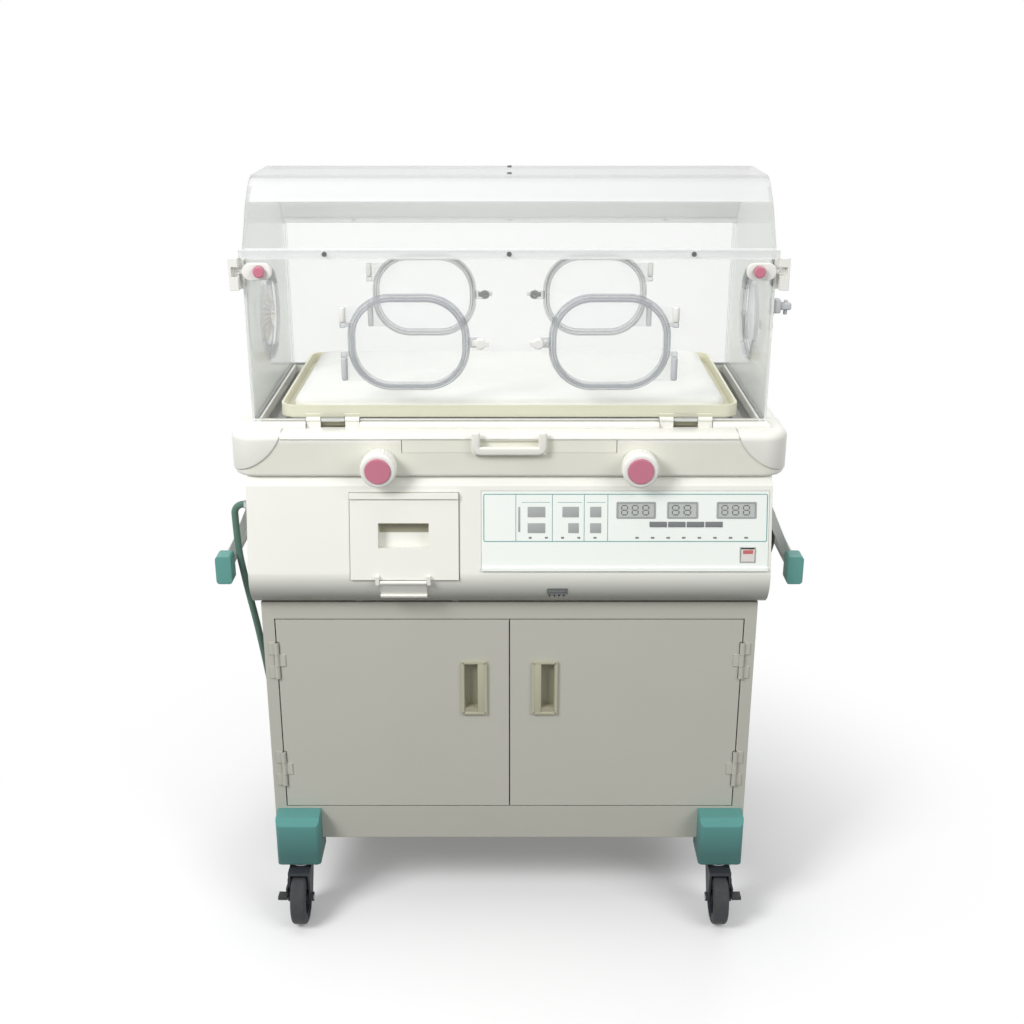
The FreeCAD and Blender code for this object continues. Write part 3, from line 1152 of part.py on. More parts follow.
def build():
    for tag, x, y in caster_points():
        fork = caster_fork()
        if tag.startswith("front"):
            pin = pedal_pin() if x > 0 else mirror_x(pedal_pin())
            fork[0] = fork[0].fuse(pin).removeSplitter()
        add("caster_fork_" + tag, *[moved(s, x, y) for s in fork])
        add("caster_wheel_" + tag, *[moved(s, x, y) for s in caster_wheel()])
    pedal = brake_pedal()
    add("brake_pedal_right", moved(pedal, CASTER_X, -CASTER_FRONT_Y))
    add("brake_pedal_left", moved(mirror_x(pedal), -CASTER_X, -CASTER_FRONT_Y))
    covers = []
    for tag, x, y in caster_points():
        cover = moved(caster_cover(y), x, y)
        covers.append(cover.cut(box(-CAB_W / 2, CAB_W / 2, -CAB_FRONT_Y, CAB_BACK_Y, CAB_Z0, CAB_Z1)))
    add("caster_covers", *covers)

    add("cabinet_shell", cabinet_shell())
    add("cabinet_door_left", *cabinet_door())
    add("cabinet_door_right", *[mirror_x(s) for s in cabinet_door()])
    pins = [p for z in HINGE_ZS for p in both_sides(hinge_pin(z))]
    add("hinge_pins", *(pins + panel_pins()))

    add("control_housing", control_housing())
    add("control_panel", control_panel())
    add("display_windows", *(display_windows() + [switch_bezel()]))
    add("power_switch", power_switch())
    add("circuit_boards", *circuit_boards())
    add("fan_motor", fan_motor())
    add("fan_impeller", fan_impeller())
    add("heater", heater())
    add("tank_door", tank_door().fuse(latch_pivot()).removeSplitter())
    add("water_tank", water_tank())
    add("tank_latch", tank_latch())

    add("base_tray", base_tray())
    add("deck", deck())
    add("tilt_frame", tilt_frame())
    add("mattress_tray", mattress_tray())
    add("mattress", mattress())
    add("cassette_tray", cassette_tray())
    knob = tilt_knob()
    add("tilt_knob_right", *knob)
    add("tilt_knob_left", *[mirror_x(s) for s in knob])

    add("hood_shell", hood_shell())
    wall = end_wall()
    left_hole = at_left_wall(port_hole(END_PORT_D, END_PORT_D, END_PORT_D / 2))
    right_hole = at_right_wall(port_hole(END_PORT_D, END_PORT_D, END_PORT_D / 2))
    rear_holes = [at_panel(port_hole(PORT_W, PORT_H, PORT_CORNER), right, True) for right in (False, True)]
    rear = panel_sheet(-FRONT_FACE - SHEET, -FRONT_FACE, SEAT_Z, HOOD_SHOULDER_Z, rear_holes)
    add("hood_walls", wall.cut(left_hole), mirror_x(wall).cut(right_hole), rear)
    add("front_panel", *front_panel())
    oval = (PORT_W, PORT_H, PORT_CORNER)
    disc = (END_PORT_D, END_PORT_D, END_PORT_D / 2)
    ring = port_ring(*oval)
    add("front_port_rings", at_panel(ring, False, False), at_panel(ring, True, False))
    add("wall_port_rings", at_panel(ring, False, True), at_panel(ring, True, True),
        at_right_wall(port_ring(*disc)), at_left_wall(port_ring(*disc, hinged=False)))
    door = port_door(*oval)
    latch = port_latch(PORT_W)
    for tag, right, is_rear in (("front_left", False, False), ("front_right", True, False),
                                ("rear_left", False, True), ("rear_right", True, True)):
        add("port_door_" + tag, at_panel(door, right, is_rear))
        add("port_latch_" + tag, at_panel(latch, right, is_rear))
    add("end_port_door", at_right_wall(port_door(*disc)))
    add("end_port_latch", at_right_wall(port_latch(END_PORT_D)))
    add("iris_ring", at_left_wall(iris_ring()))
    add("iris_sleeve", at_left_wall(iris_sleeve()))
    add("panel_button_right", panel_button())
    add("panel_button_left", mirror_x(panel_button()))
    add("panel_latch_brackets", *both_sides(latch_bracket()))
    add("hood_screws", *hood_screws())

    blocks = [rail_block(y) for y in (-RAIL_Y - BLOCK_Y, RAIL_Y)]
    add("side_rails", *both_sides(side_rail()))
    add("rail_blocks", *(blocks + [mirror_x(b) for b in blocks]))
    add("side_fittings", *side_fittings())
    add("oxygen_hose", bent_tube(HOSE_R, HOSE_POINTS))
    add("sensor_lead", bent_tube(LEAD_R, LEAD_POINTS))


def write():
    os.makedirs("parts", exist_ok=True)
    for name, shape in NODES.items():
        shape.exportStep(os.path.join("parts", name + ".step"))


build()
write()
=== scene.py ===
"""Infant incubator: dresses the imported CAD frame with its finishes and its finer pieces."""
import logging
import math
from collections.abc import Callable, Iterable, Iterator, Sequence
from contextlib import contextmanager
from dataclasses import dataclass, field
from enum import Enum

import bpy
from mathutils import Matrix, Vector


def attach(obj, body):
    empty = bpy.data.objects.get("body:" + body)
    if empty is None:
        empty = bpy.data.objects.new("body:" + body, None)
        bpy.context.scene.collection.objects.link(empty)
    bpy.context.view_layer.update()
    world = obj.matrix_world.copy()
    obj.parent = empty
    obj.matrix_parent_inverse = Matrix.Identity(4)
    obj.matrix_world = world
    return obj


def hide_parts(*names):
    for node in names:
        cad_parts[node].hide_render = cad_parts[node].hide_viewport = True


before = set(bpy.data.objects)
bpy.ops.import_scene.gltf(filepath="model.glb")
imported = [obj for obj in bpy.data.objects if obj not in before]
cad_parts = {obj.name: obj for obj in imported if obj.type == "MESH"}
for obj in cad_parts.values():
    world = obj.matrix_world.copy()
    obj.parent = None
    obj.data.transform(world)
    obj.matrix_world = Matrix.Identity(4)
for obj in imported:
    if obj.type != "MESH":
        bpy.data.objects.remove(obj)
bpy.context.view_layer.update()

logging.basicConfig(level=logging.INFO, format="%(message)s")
LOG = logging.getLogger("incubator")

MM = 0.001
Piece = bpy.types.Object
Material = bpy.types.Material
Colour = tuple[float, float, float]
Point = tuple[float, float, float]
Pair = tuple[float, float]


def shade(red: int, green: int, blue: int) -> Colour:
    """Turn a screen colour into the linear colour that shaders use.

    Args:
        red: Screen red, 0 to 255.
        green: Screen green, 0 to 255.
        blue: Screen blue, 0 to 255.

    Returns:
        The linear colour.
    """
    shares = (value / 255 for value in (red, green, blue))
    return tuple(s / 12.92 if s <= 0.04045 else ((s + 0.055) / 1.055) ** 2.4 for s in shares)


def scaled(colour: Colour, factor: float) -> Colour:
    """The colour made darker or lighter, with no channel above 1."""
    return tuple(min(1.0, channel * factor) for channel in colour)


def shift(x: float = 0.0, y: float = 0.0, z: float = 0.0) -> Matrix:
    """A move in millimetres."""
    return Matrix.Translation((x * MM, y * MM, z * MM))


def turn(degrees: float, axis: str) -> Matrix:
    """A turn about an axis through the origin."""
    return Matrix.Rotation(math.radians(degrees), 4, axis)


class Wire:
    """A shader socket that takes part in Python sums."""

    def __init__(self, sheet: "Sheet", socket: bpy.types.NodeSocket) -> None:
        """Hold the socket and the node sheet that it belongs to."""
        self.sheet = sheet
        self.socket = socket

    def maths(self, operation: str, other: "Wire | float" = 0.0) -> "Wire":
        """Add one Math node with this value first and the other one second."""
        return self.sheet.node("ShaderNodeMath", {"operation": operation}, {0: self, 1: other})

    def __add__(self, other: "Wire | float") -> "Wire":
        """Return self + other."""
        return self.maths("ADD", other)

    def __sub__(self, other: "Wire | float") -> "Wire":
        """Return self - other."""
        return self.maths("SUBTRACT", other)

    def __rsub__(self, other: float) -> "Wire":
        """Return other - self."""
        return self.sheet.node("ShaderNodeMath", {"operation": "SUBTRACT"}, {0: other, 1: self})

    def __mul__(self, other: "Wire | float") -> "Wire":
        """Return self * other."""
        return self.maths("MULTIPLY", other)

    def __truediv__(self, other: "Wire | float") -> "Wire":
        """Return self / other."""
        return self.maths("DIVIDE", other)

    def __gt__(self, other: "Wire | float") -> "Wire":
        """Return 1 where self is greater than other, else 0."""
        return self.maths("GREATER_THAN", other)

    def __lt__(self, other: "Wire | float") -> "Wire":
        """Return 1 where self is less than other, else 0."""
        return self.maths("LESS_THAN", other)

    def __abs__(self) -> "Wire":
        """Return the value without its sign."""
        return self.maths("ABSOLUTE")

    def power(self, exponent: float) -> "Wire":
        """Return self raised to an exponent."""
        return self.maths("POWER", exponent)

    def lowest(self, other: "Wire | float") -> "Wire":
        """Return the lower of self and other."""
        return self.maths("MINIMUM", other)

    def length(self, other: "Wire") -> "Wire":
        """Return the length of the step that self and other make at a right angle."""
        return (self.power(2.0) + other.power(2.0)).power(0.5)

    __radd__ = __add__
    __rmul__ = __mul__


class Sheet:
    """The node sheet of one material, or of the world."""

    def __init__(self, name: str, is_world: bool = False) -> None:
        """Start with no nodes.

        Args:
            name: Name of the material or the world.
            is_world: True for the world.
        """
        self.owner = (bpy.data.worlds if is_world else bpy.data.materials).new(name)
        self.end = "ShaderNodeOutputWorld" if is_world else "ShaderNodeOutputMaterial"
        self.owner.use_nodes = True
        self.tree = self.owner.node_tree
        self.tree.nodes.clear()

    def node(self, kind: str, settings: dict | None = None, inputs: dict | None = None,
             output: int | str = 0) -> Wire:
        """Add any node.

        Args:
            kind: Type name of the node.
            settings: Properties, set before the sockets.
            inputs: Values or wires by socket name or number.
            output: Which output the returned wire carries.

        Returns:
            A wire from the chosen output.
        """
        made = self.tree.nodes.new(kind)
        for key, value in (settings or {}).items():
            setattr(made, key, value)
        for key, value in (inputs or {}).items():
            socket = made.inputs[key]
            if isinstance(value, Wire):
                self.tree.links.new(value.socket, socket)
            elif isinstance(value, tuple) and socket.type == "RGBA":
                socket.default_value = (*value, 1.0)
            else:
                socket.default_value = value
        return Wire(self, made.outputs[output] if made.outputs else None)

    def place(self) -> Wire:
        """The point on the object, in metres."""
        return self.node("ShaderNodeTexCoord", output="Object")

    def axes(self) -> tuple[Wire, Wire, Wire]:
        """The point's x, y and z in metres."""
        split = self.node("ShaderNodeSeparateXYZ", inputs={0: self.place()})
        return tuple(Wire(self, socket) for socket in split.socket.node.outputs)

    def noise(self, scale: float, detail: float = 3.0, rough: float = 0.55,
              stretch: Point | None = None) -> Wire:
        """Noise in metres.

        Args:
            scale: Waves per metre.
            detail: Octaves.
            rough: How strong the finer octaves are.
            stretch: Factors along x, y and z.

        Returns:
            The noise, 0 to 1.
        """
        where = self.place()
        if stretch:
            where = self.node("ShaderNodeMapping", inputs={"Vector": where, "Scale": stretch})
        return self.node("ShaderNodeTexNoise", inputs={"Vector": where, "Scale": scale, "Detail": detail,
                                                       "Roughness": rough})

    def ramp(self, value: Wire, start: Pair, end: Pair, blend: str = "LINEAR") -> Wire:
        """Map one range of values to another, held at its ends.

        Args:
            value: What is mapped.
            start: A value and what it becomes.
            end: Another value and what it becomes.
            blend: How it goes from the one to the other.

        Returns:
            The mapped value.
        """
        return self.node("ShaderNodeMapRange", {"interpolation_type": blend},
                         {"Value": value, "From Min": start[0], "From Max": end[0], "To Min": start[1],
                          "To Max": end[1]})

    def mix(self, share: "Wire | float", first: "Wire | Colour", second: "Wire | Colour") -> Wire:
        """Mix two colours by a share."""
        return self.node("ShaderNodeMix", {"data_type": "RGBA"}, {0: share, 6: first, 7: second}, 2)

    def soft_edges(self, radius: float) -> Wire:
        """The normal with the piece's edges rounded by a radius in metres."""
        return self.node("ShaderNodeBevel", {"samples": 4}, {"Radius": radius})

    def bump(self, height: Wire, depth: float, normal: Wire | None = None) -> Wire:
        """Turn a height into a normal.

        Args:
            height: The height, 0 to 1.
            depth: How deep 1 is, in metres.
            normal: The normal that it starts from.

        Returns:
            The bumped normal.
        """
        inputs = {"Height": height, "Distance": depth, "Strength": 1.0}
        if normal is not None:
            inputs["Normal"] = normal
        return self.node("ShaderNodeBump", inputs=inputs)

    def surface(self, shader: Wire) -> bpy.types.ID:
        """Wire a shader to the output and return the material or the world."""
        self.node(self.end, inputs={"Surface": shader})
        return self.owner


@dataclass(frozen=True)
class Finish:
    """A moulded plastic or painted surface, and the base of the other finishes.

    Its methods take the material's sheet and return what the shader needs.
    """

    name: str
    colour: Colour
    rough: float = 0.42
    metal: float = 0.0
    coat: float = 0.0
    grain: float = 900.0
    depth: float = 0.00004
    mottle: float = 0.05
    edge: float = 0.0012
    dust: float = 0.04
    handled: float = 0.16

    def tone(self, sheet: Sheet) -> Wire:
        """The colour: a faint drift over the piece and a trace of dust.

        Args:
            sheet: The material's nodes.

        Returns:
            The colour.
        """
        dark, light = scaled(self.colour, 1 - self.mottle), scaled(self.colour, 1 + self.mottle * 0.6)
        drift = sheet.mix(sheet.noise(3.0, detail=4.0), dark, light)
        specks = sheet.noise(55.0, detail=6.0, rough=0.7) > 0.66
        return sheet.mix(specks * self.dust, drift, scaled(self.colour, 0.55))

    def relief(self, sheet: Sheet) -> Wire:
        """The normal: rounded edges with a fine grain."""
        return sheet.bump(sheet.noise(self.grain, detail=2.0), self.depth, sheet.soft_edges(self.edge))

    def polish(self, sheet: Sheet) -> Wire:
        """The roughness: handled areas are smoother than the rest."""
        return sheet.noise(9.0, detail=5.0) * self.handled + (self.rough - self.handled / 2)

    def plain(self) -> dict[str, float]:
        """Values that are the same all over and go on the shader's own sockets."""
        return {"Metallic": self.metal, "Coat Weight": self.coat, "Coat Roughness": 0.12}

    def shader(self, sheet: Sheet) -> Wire:
        """The Principled shader with this finish."""
        varied = {"Base Color": self.tone(sheet), "Roughness": self.polish(sheet),
                  "Normal": self.relief(sheet)}
        return sheet.node("ShaderNodeBsdfPrincipled", inputs={**varied, **self.plain()})

    def material(self) -> Material:
        """Make the material."""
        sheet = Sheet(self.name)
        return sheet.surface(self.shader(sheet))


@dataclass(frozen=True)
class PowderCoat(Finish):
    """Painted steel with a fine orange peel, and painted shade that darkens it from one height down to
    another.
    """

    grain: float = 420.0
    depth: float = 0.00007
    # low and high: where the painted shade at the foot is full and where it ends; 1 minus painted_shade_keep
    # is how far that shade goes towards a dark copy of the colour
    low: float = 0.15
    high: float = 0.65
    painted_shade_keep: float = 0.9

    def tone(self, sheet: Sheet) -> Wire:
        """The paint with faint scuffs, and painted shade that darkens it towards its foot.

        Args:
            sheet: The material's nodes.

        Returns:
            The colour.
        """
        scuffs = sheet.noise(26.0, detail=8.0, rough=0.75, stretch=(0.3, 1.0, 3.0)) > 0.72
        worn = sheet.mix(scuffs * 0.10, super().tone(sheet), scaled(self.colour, 0.72))
        # Painted shade: the colour darkens from high down to low, standing in for shade at the foot
        foot = sheet.ramp(sheet.axes()[2], (self.low, 1.0), (self.high, 0.0))
        return sheet.mix(foot * (1 - self.painted_shade_keep), worn, scaled(self.colour, 0.3))


@dataclass(frozen=True)
class Steel(Finish):
    """Bright metal with fine drawn lines."""

    metal: float = 1.0
    rough: float = 0.28
    edge: float = 0.0006

    def relief(self, sheet: Sheet) -> Wire:
        """Fine lines across the drawing direction."""
        lines = sheet.noise(700.0, detail=3.0, rough=0.6, stretch=(1.0, 14.0, 1.0))
        return sheet.bump(lines, 0.00003, sheet.soft_edges(self.edge))

    def tone(self, sheet: Sheet) -> Wire:
        """Metal with a faint bloom of tarnish."""
        return sheet.mix(sheet.noise(32.0, detail=5.0) * 0.3, self.colour, scaled(self.colour, 0.6))


@dataclass(frozen=True)
class TyreRubber(Finish):
    """A grey rubber tyre around a moulded hub, told apart by the distance from the axle."""

    axle: Point = (0.0, 0.0, 0.0)
    hub_radius: float = 0.0375
    tread_radius: float = 0.046
    mould_rings: tuple[Pair, ...] = ((0.0425, 0.0006), (0.0465, 0.0005))
    hub: Colour = (0.03, 0.033, 0.04)
    floor_dust: Colour = (0.16, 0.155, 0.145)

    def away(self, sheet: Sheet) -> Wire:
        """The distance from the axle in metres."""
        _, y, z = sheet.axes()
        return (y - self.axle[1]).length(z - self.axle[2])

    def tone(self, sheet: Sheet) -> Wire:
        """Rubber with grey floor dust on the tread, and the darker hub.

        Args:
            sheet: The material's nodes.

        Returns:
            The colour.
        """
        away = self.away(sheet)
        dusty = sheet.noise(90.0, detail=6.0, rough=0.7) * (away > self.tread_radius) * 0.35
        rubber = sheet.mix(dusty, self.colour, self.floor_dust)
        return sheet.mix(away < self.hub_radius, rubber, self.hub)

    def relief(self, sheet: Sheet) -> Wire:
        """Rounded edges, skin grain and two fine mould rings on the tyre's sides.

        Args:
            sheet: The material's nodes.

        Returns:
            The normal.
        """
        away = self.away(sheet)
        skin = sheet.noise(700.0, detail=3.0) * 0.2
        for radius, reach in self.mould_rings:
            skin = skin + (abs(away - radius) < reach)
        return sheet.bump(skin, 0.0005, sheet.soft_edges(0.001))


@dataclass(frozen=True)
class ClearSheet(Finish):
    """Clear acrylic: open seen straight on, bright at a slant and hazy along its cut edges.

    A rim is an axis, its place on that axis and its reach in metres. clear_way is how much of the cover is
    lifted for shadow rays and bounced light, so that the sheet doesn't darken what it stands over.
    """

    rough: float = 0.05
    metal: float = 0.12
    haze: float = 0.018
    gloss: float = 0.8
    edge: float = 0.0009
    wave: float = 0.0004
    clear_way: float = 0.9
    rims: tuple[tuple[int, float, float], ...] = ()

    def polish(self, sheet: Sheet) -> Wire:
        """Wiping leaves faint long marks."""
        marks = sheet.noise(60.0, detail=6.0, rough=0.7, stretch=(0.2, 1.0, 1.6)) > 0.62
        return marks * 0.05 + self.rough

    def cover(self, sheet: Sheet) -> Wire:
        """How much of the light the sheet keeps: slant, haze, smears and cut edges.

        Args:
            sheet: The material's nodes.

        Returns:
            The share of the sheet's own shine, 0 to 1.
        """
        slant = sheet.node("ShaderNodeFresnel", inputs={"IOR": 1.49})
        smears = sheet.noise(7.0, detail=6.0, rough=0.6, stretch=(0.35, 1.0, 1.8)) * 0.022
        total = slant * self.gloss + self.haze + smears
        places = sheet.axes()
        for axis, place, reach in self.rims:
            total = total + (abs(places[axis] - place) < reach) * 0.42
        passing = sheet.node("ShaderNodeLightPath", output="Is Shadow Ray")
        bounced = sheet.node("ShaderNodeLightPath", output="Is Diffuse Ray")
        return total.lowest(1.0) * (1.0 - (passing + bounced).lowest(1.0) * self.clear_way)

    def shader(self, sheet: Sheet) -> Wire:
        """An open way mixed with the sheet's own shine."""
        open_way = sheet.node("ShaderNodeBsdfTransparent", inputs={"Color": (0.99, 0.992, 0.99)})
        return sheet.node("ShaderNodeMixShader",
                          inputs={0: self.cover(sheet), 1: open_way, 2: super().shader(sheet)})

    def relief(self, sheet: Sheet) -> Wire:
        """A slow wave in the sheet."""
        slow = sheet.noise(9.0, detail=2.0, rough=0.5, stretch=(0.5, 1.0, 1.0))
        return sheet.bump(slow, self.wave, sheet.soft_edges(self.edge))

    def tone(self, sheet: Sheet) -> Wire:
        """Clear, with a trace of tint that drifts."""
        return sheet.mix(sheet.noise(4.0, detail=2.0), self.colour, scaled(self.colour, 1.01))


@dataclass(frozen=True)
class CoverCloth(Finish):
    """A fine plain weave over the mattress."""

    thread: float = 0.0009
    thread_depth: float = 0.00009
    crease_depth: float = 0.006

    def relief(self, sheet: Sheet) -> Wire:
        """Crossing threads and soft creases.

        Args:
            sheet: The material's nodes.

        Returns:
            The normal.
        """
        x, y, _ = sheet.axes()
        warp, weft = ((axis * (math.tau / self.thread)).maths("SINE") for axis in (x, y))
        weave = sheet.bump(warp * weft * 0.5 + 0.5, self.thread_depth)
        creases = sheet.noise(11.0, detail=5.0, rough=0.6, stretch=(1.0, 1.7, 1.0))
        return sheet.bump(creases, self.crease_depth, weave)

    def tone(self, sheet: Sheet) -> Wire:
        """White cotton with a faint warm drift."""
        return sheet.mix(sheet.noise(7.0, detail=4.0), self.colour, scaled(self.colour, 0.95))

    def plain(self) -> dict[str, float]:
        """Cloth has a little sheen."""
        return {"Sheen Weight": 0.25, "Sheen Roughness": 0.5}


@dataclass(frozen=True)
class TwoTone(Finish):
    """A finish whose second colour fills a round or square place in X and Z, in front of a depth in Y."""

    second: Colour = (0.6, 0.2, 0.3)
    middle: Pair = (0.0, 0.0)
    reach: Pair = (0.022, 0.022)
    before: float = 0.0
    is_round: bool = False

    def tone(self, sheet: Sheet) -> Wire:
        """The first colour, with the second one in its place.

        Args:
            sheet: The material's nodes.

        Returns:
            The colour.
        """
        x, y, z = sheet.axes()
        across = abs(x - self.middle[0]) / self.reach[0]
        up = abs(z - self.middle[1]) / self.reach[1]
        inside = across.length(up) < 1.0 if self.is_round else (across < 1.0) * (up < 1.0)
        second = sheet.mix(sheet.noise(8.0, detail=4.0), self.second, scaled(self.second, 0.88))
        return sheet.mix(inside * (y < self.before), super().tone(sheet), second)


@dataclass(frozen=True)
class Laminate(Finish):
    """A circuit board with copper runs under green lacquer."""

    copper: Colour = (0.10, 0.22, 0.08)

    def tone(self, sheet: Sheet) -> Wire:
        """Green lacquer over straight runs."""
        cells = sheet.node("ShaderNodeTexVoronoi", {"distance": "CHEBYCHEV"},
                           {"Vector": sheet.place(), "Scale": 130.0})
        return sheet.mix((cells < 0.25) * 0.6, self.colour, self.copper)


@dataclass(frozen=True)
class RibbedHose(Finish):
    """Soft tubing with fine rings along it."""

    pitch: float = 0.0035

    def relief(self, sheet: Sheet) -> Wire:
        """Rings across the run, which goes down and back.

        Args:
            sheet: The material's nodes.

        Returns:
            The normal.
        """
        _, y, z = sheet.axes()
        rings = ((y * 0.6 - z) * (math.tau / self.pitch)).maths("SINE")
        return sheet.bump(rings * 0.5 + 0.5, 0.0005)


@dataclass(frozen=True)
class GatheredFilm(Finish):
    """Thin milky film with folds that run to the middle of the port."""

    middle: Pair = (0.0, 0.0)
    folds: float = 26.0

    def relief(self, sheet: Sheet) -> Wire:
        """Folds round the middle.

        Args:
            sheet: The material's nodes.

        Returns:
            The normal.
        """
        _, y, z = sheet.axes()
        around = (y - self.middle[0]).maths("ARCTAN2", z - self.middle[1])
        folds = (around * self.folds).maths("SINE") * 0.5 + 0.5
        return sheet.bump(folds + sheet.noise(60.0) * 0.4, 0.0018)

    def plain(self) -> dict[str, float]:
        """The film lets much of the light through."""
        return {"Alpha": 0.72, "Subsurface Weight": 0.2, "Subsurface Scale": 0.004}


WHITE = shade(236, 235, 228)
BOX_WHITE = shade(238, 238, 230)
KNOB_WHITE = shade(240, 239, 234)
TRAY_WHITE = shade(236, 236, 223)
CREAM = shade(228, 225, 200)
PAINT = shade(197, 196, 185)
PINK = shade(206, 122, 143)


class Palette:
    """Every finish, made once and shared by the pieces that have it."""

    def __init__(self) -> None:
        """Start with nothing made."""
        self.made: dict[str, Material] = {}
        finishes = (
            Finish("white_shell", WHITE, rough=0.36, coat=0.12),
            Finish("box_paint", BOX_WHITE, rough=0.34, coat=0.15, dust=0.02),
            # box_shell: painted shade darkens the control housing's rounded underside, from 0.705 m down to
            # 0.645 m
            PowderCoat("box_shell", BOX_WHITE, rough=0.34, coat=0.15, dust=0.02, low=0.645,
                       high=0.705, painted_shade_keep=0.2, grain=900.0, depth=0.00003),
            Finish("tray_face", TRAY_WHITE, rough=0.4),
            Finish("cream", CREAM, rough=0.4),
            # cabinet_paint: a light painted shade darkens the cabinet towards its foot (the class defaults)
            PowderCoat("cabinet_paint", PAINT, rough=0.44),
            # teal: painted shade darkens the caster covers towards their foot
            PowderCoat("teal", shade(92, 152, 147), rough=0.45, edge=0.0025, mottle=0.08, low=0.14,
                       high=0.205, painted_shade_keep=0.3),
            Finish("teal_block", shade(98, 158, 150), rough=0.42, edge=0.003),
            Finish("teal_print", shade(96, 160, 156), rough=0.5, mottle=0.02, edge=0.0001),
            Finish("pink", PINK, rough=0.4),
            Finish("knob_white", KNOB_WHITE, rough=0.3, coat=0.2),
            Steel("steel", shade(178, 178, 176)),
            Steel("chrome", shade(208, 209, 210), rough=0.14),
            Steel("aluminium", shade(196, 197, 198), rough=0.35),
            Finish("black_plastic", shade(48, 50, 52), rough=0.5),
            Finish("panel_print", shade(243, 247, 242), rough=0.28, grain=500.0, mottle=0.012, edge=0.0006,
                   dust=0.0, handled=0.02),
            Finish("key_grey", shade(166, 170, 168), rough=0.4, mottle=0.02, edge=0.0004),
            Finish("key_dark", shade(120, 124, 124), rough=0.4, mottle=0.03, edge=0.0004),
            Finish("display", shade(186, 190, 186), rough=0.12, coat=0.6, mottle=0.02, edge=0.0003),
            Finish("segment", shade(112, 117, 115), rough=0.3, mottle=0.02, edge=0.0002),
            Laminate("board", shade(40, 92, 62)),
            Finish("rail_grey", shade(190, 191, 188), rough=0.38, metal=0.35),
            Finish("gasket", shade(104, 106, 106), rough=0.6),
            Finish("pull_frame", shade(188, 186, 162), rough=0.42),
            CoverCloth("mattress", shade(238, 238, 234), rough=0.85),
            RibbedHose("hose", shade(92, 124, 112), rough=0.5),
            Finish("lead", shade(62, 64, 66), rough=0.5),
            Finish("hinge_grey", shade(200, 202, 204), rough=0.35),
            Finish("fork_nylon", shade(50, 53, 58), rough=0.5),
            # gap_shade_strip: dark olive, painted as the shadow in the gap under the mattress tray
            Finish("gap_shade_strip", shade(128, 126, 104), rough=0.5),
            ClearSheet("clear_walls", shade(232, 234, 230), haze=0.035, rims=((2, 0.9475, 0.003),)),
            ClearSheet("clear_front", shade(244, 246, 243), rims=(
                (2, 0.950, 0.0022), (2, 1.2235, 0.002), (0, 0.436, 0.003), (0, -0.436, 0.003))),
            ClearSheet("clear_roof", shade(226, 227, 227), haze=0.07, rims=((2, 1.231, 0.0066),)),
            ClearSheet("port_clear", shade(240, 243, 243), haze=0.08),
            ClearSheet("ring_clear", shade(196, 199, 203), haze=0.30, rough=0.1, metal=0.25, clear_way=0.7),
            ClearSheet("ring_faint", shade(214, 217, 219), haze=0.13, rough=0.1, metal=0.2),
            Finish("deck_paint", shade(206, 206, 200), rough=0.45),
            GatheredFilm("film", shade(232, 232, 226), rough=0.45, middle=(0.045, 1.092)),
        )
        self.finishes = {finish.name: finish for finish in finishes}

    def __getitem__(self, name: str) -> Material:
        """The material of that name, made when it is first asked for."""
        if name not in self.made:
            self.made[name] = self.finishes[name].material()
        return self.made[name]

    def add(self, finish: Finish) -> Material:
        """Make a finish that belongs to one piece only."""
        self.finishes[finish.name] = finish
        return self[finish.name]


class Side(Enum):
    """Left or right as seen from the front, with its sign in X."""

    LEFT = -1
    RIGHT = 1

    @property
    def tag(self) -> str:
        """The side's word in the names of pieces."""
        return self.name.lower()


class Pick(Enum):
    """What an edit-mode selection is made of: the select mode and the mesh's own list."""

    VERTS = ("VERT", "vertices")
    EDGES = ("EDGE", "edges")
    FACES = ("FACE", "polygons")


class Cut(Enum):
    """What a cutting tool does: keeps what it meets, or takes it away."""

    KEEP = "INTERSECT"
    AWAY = "DIFFERENCE"


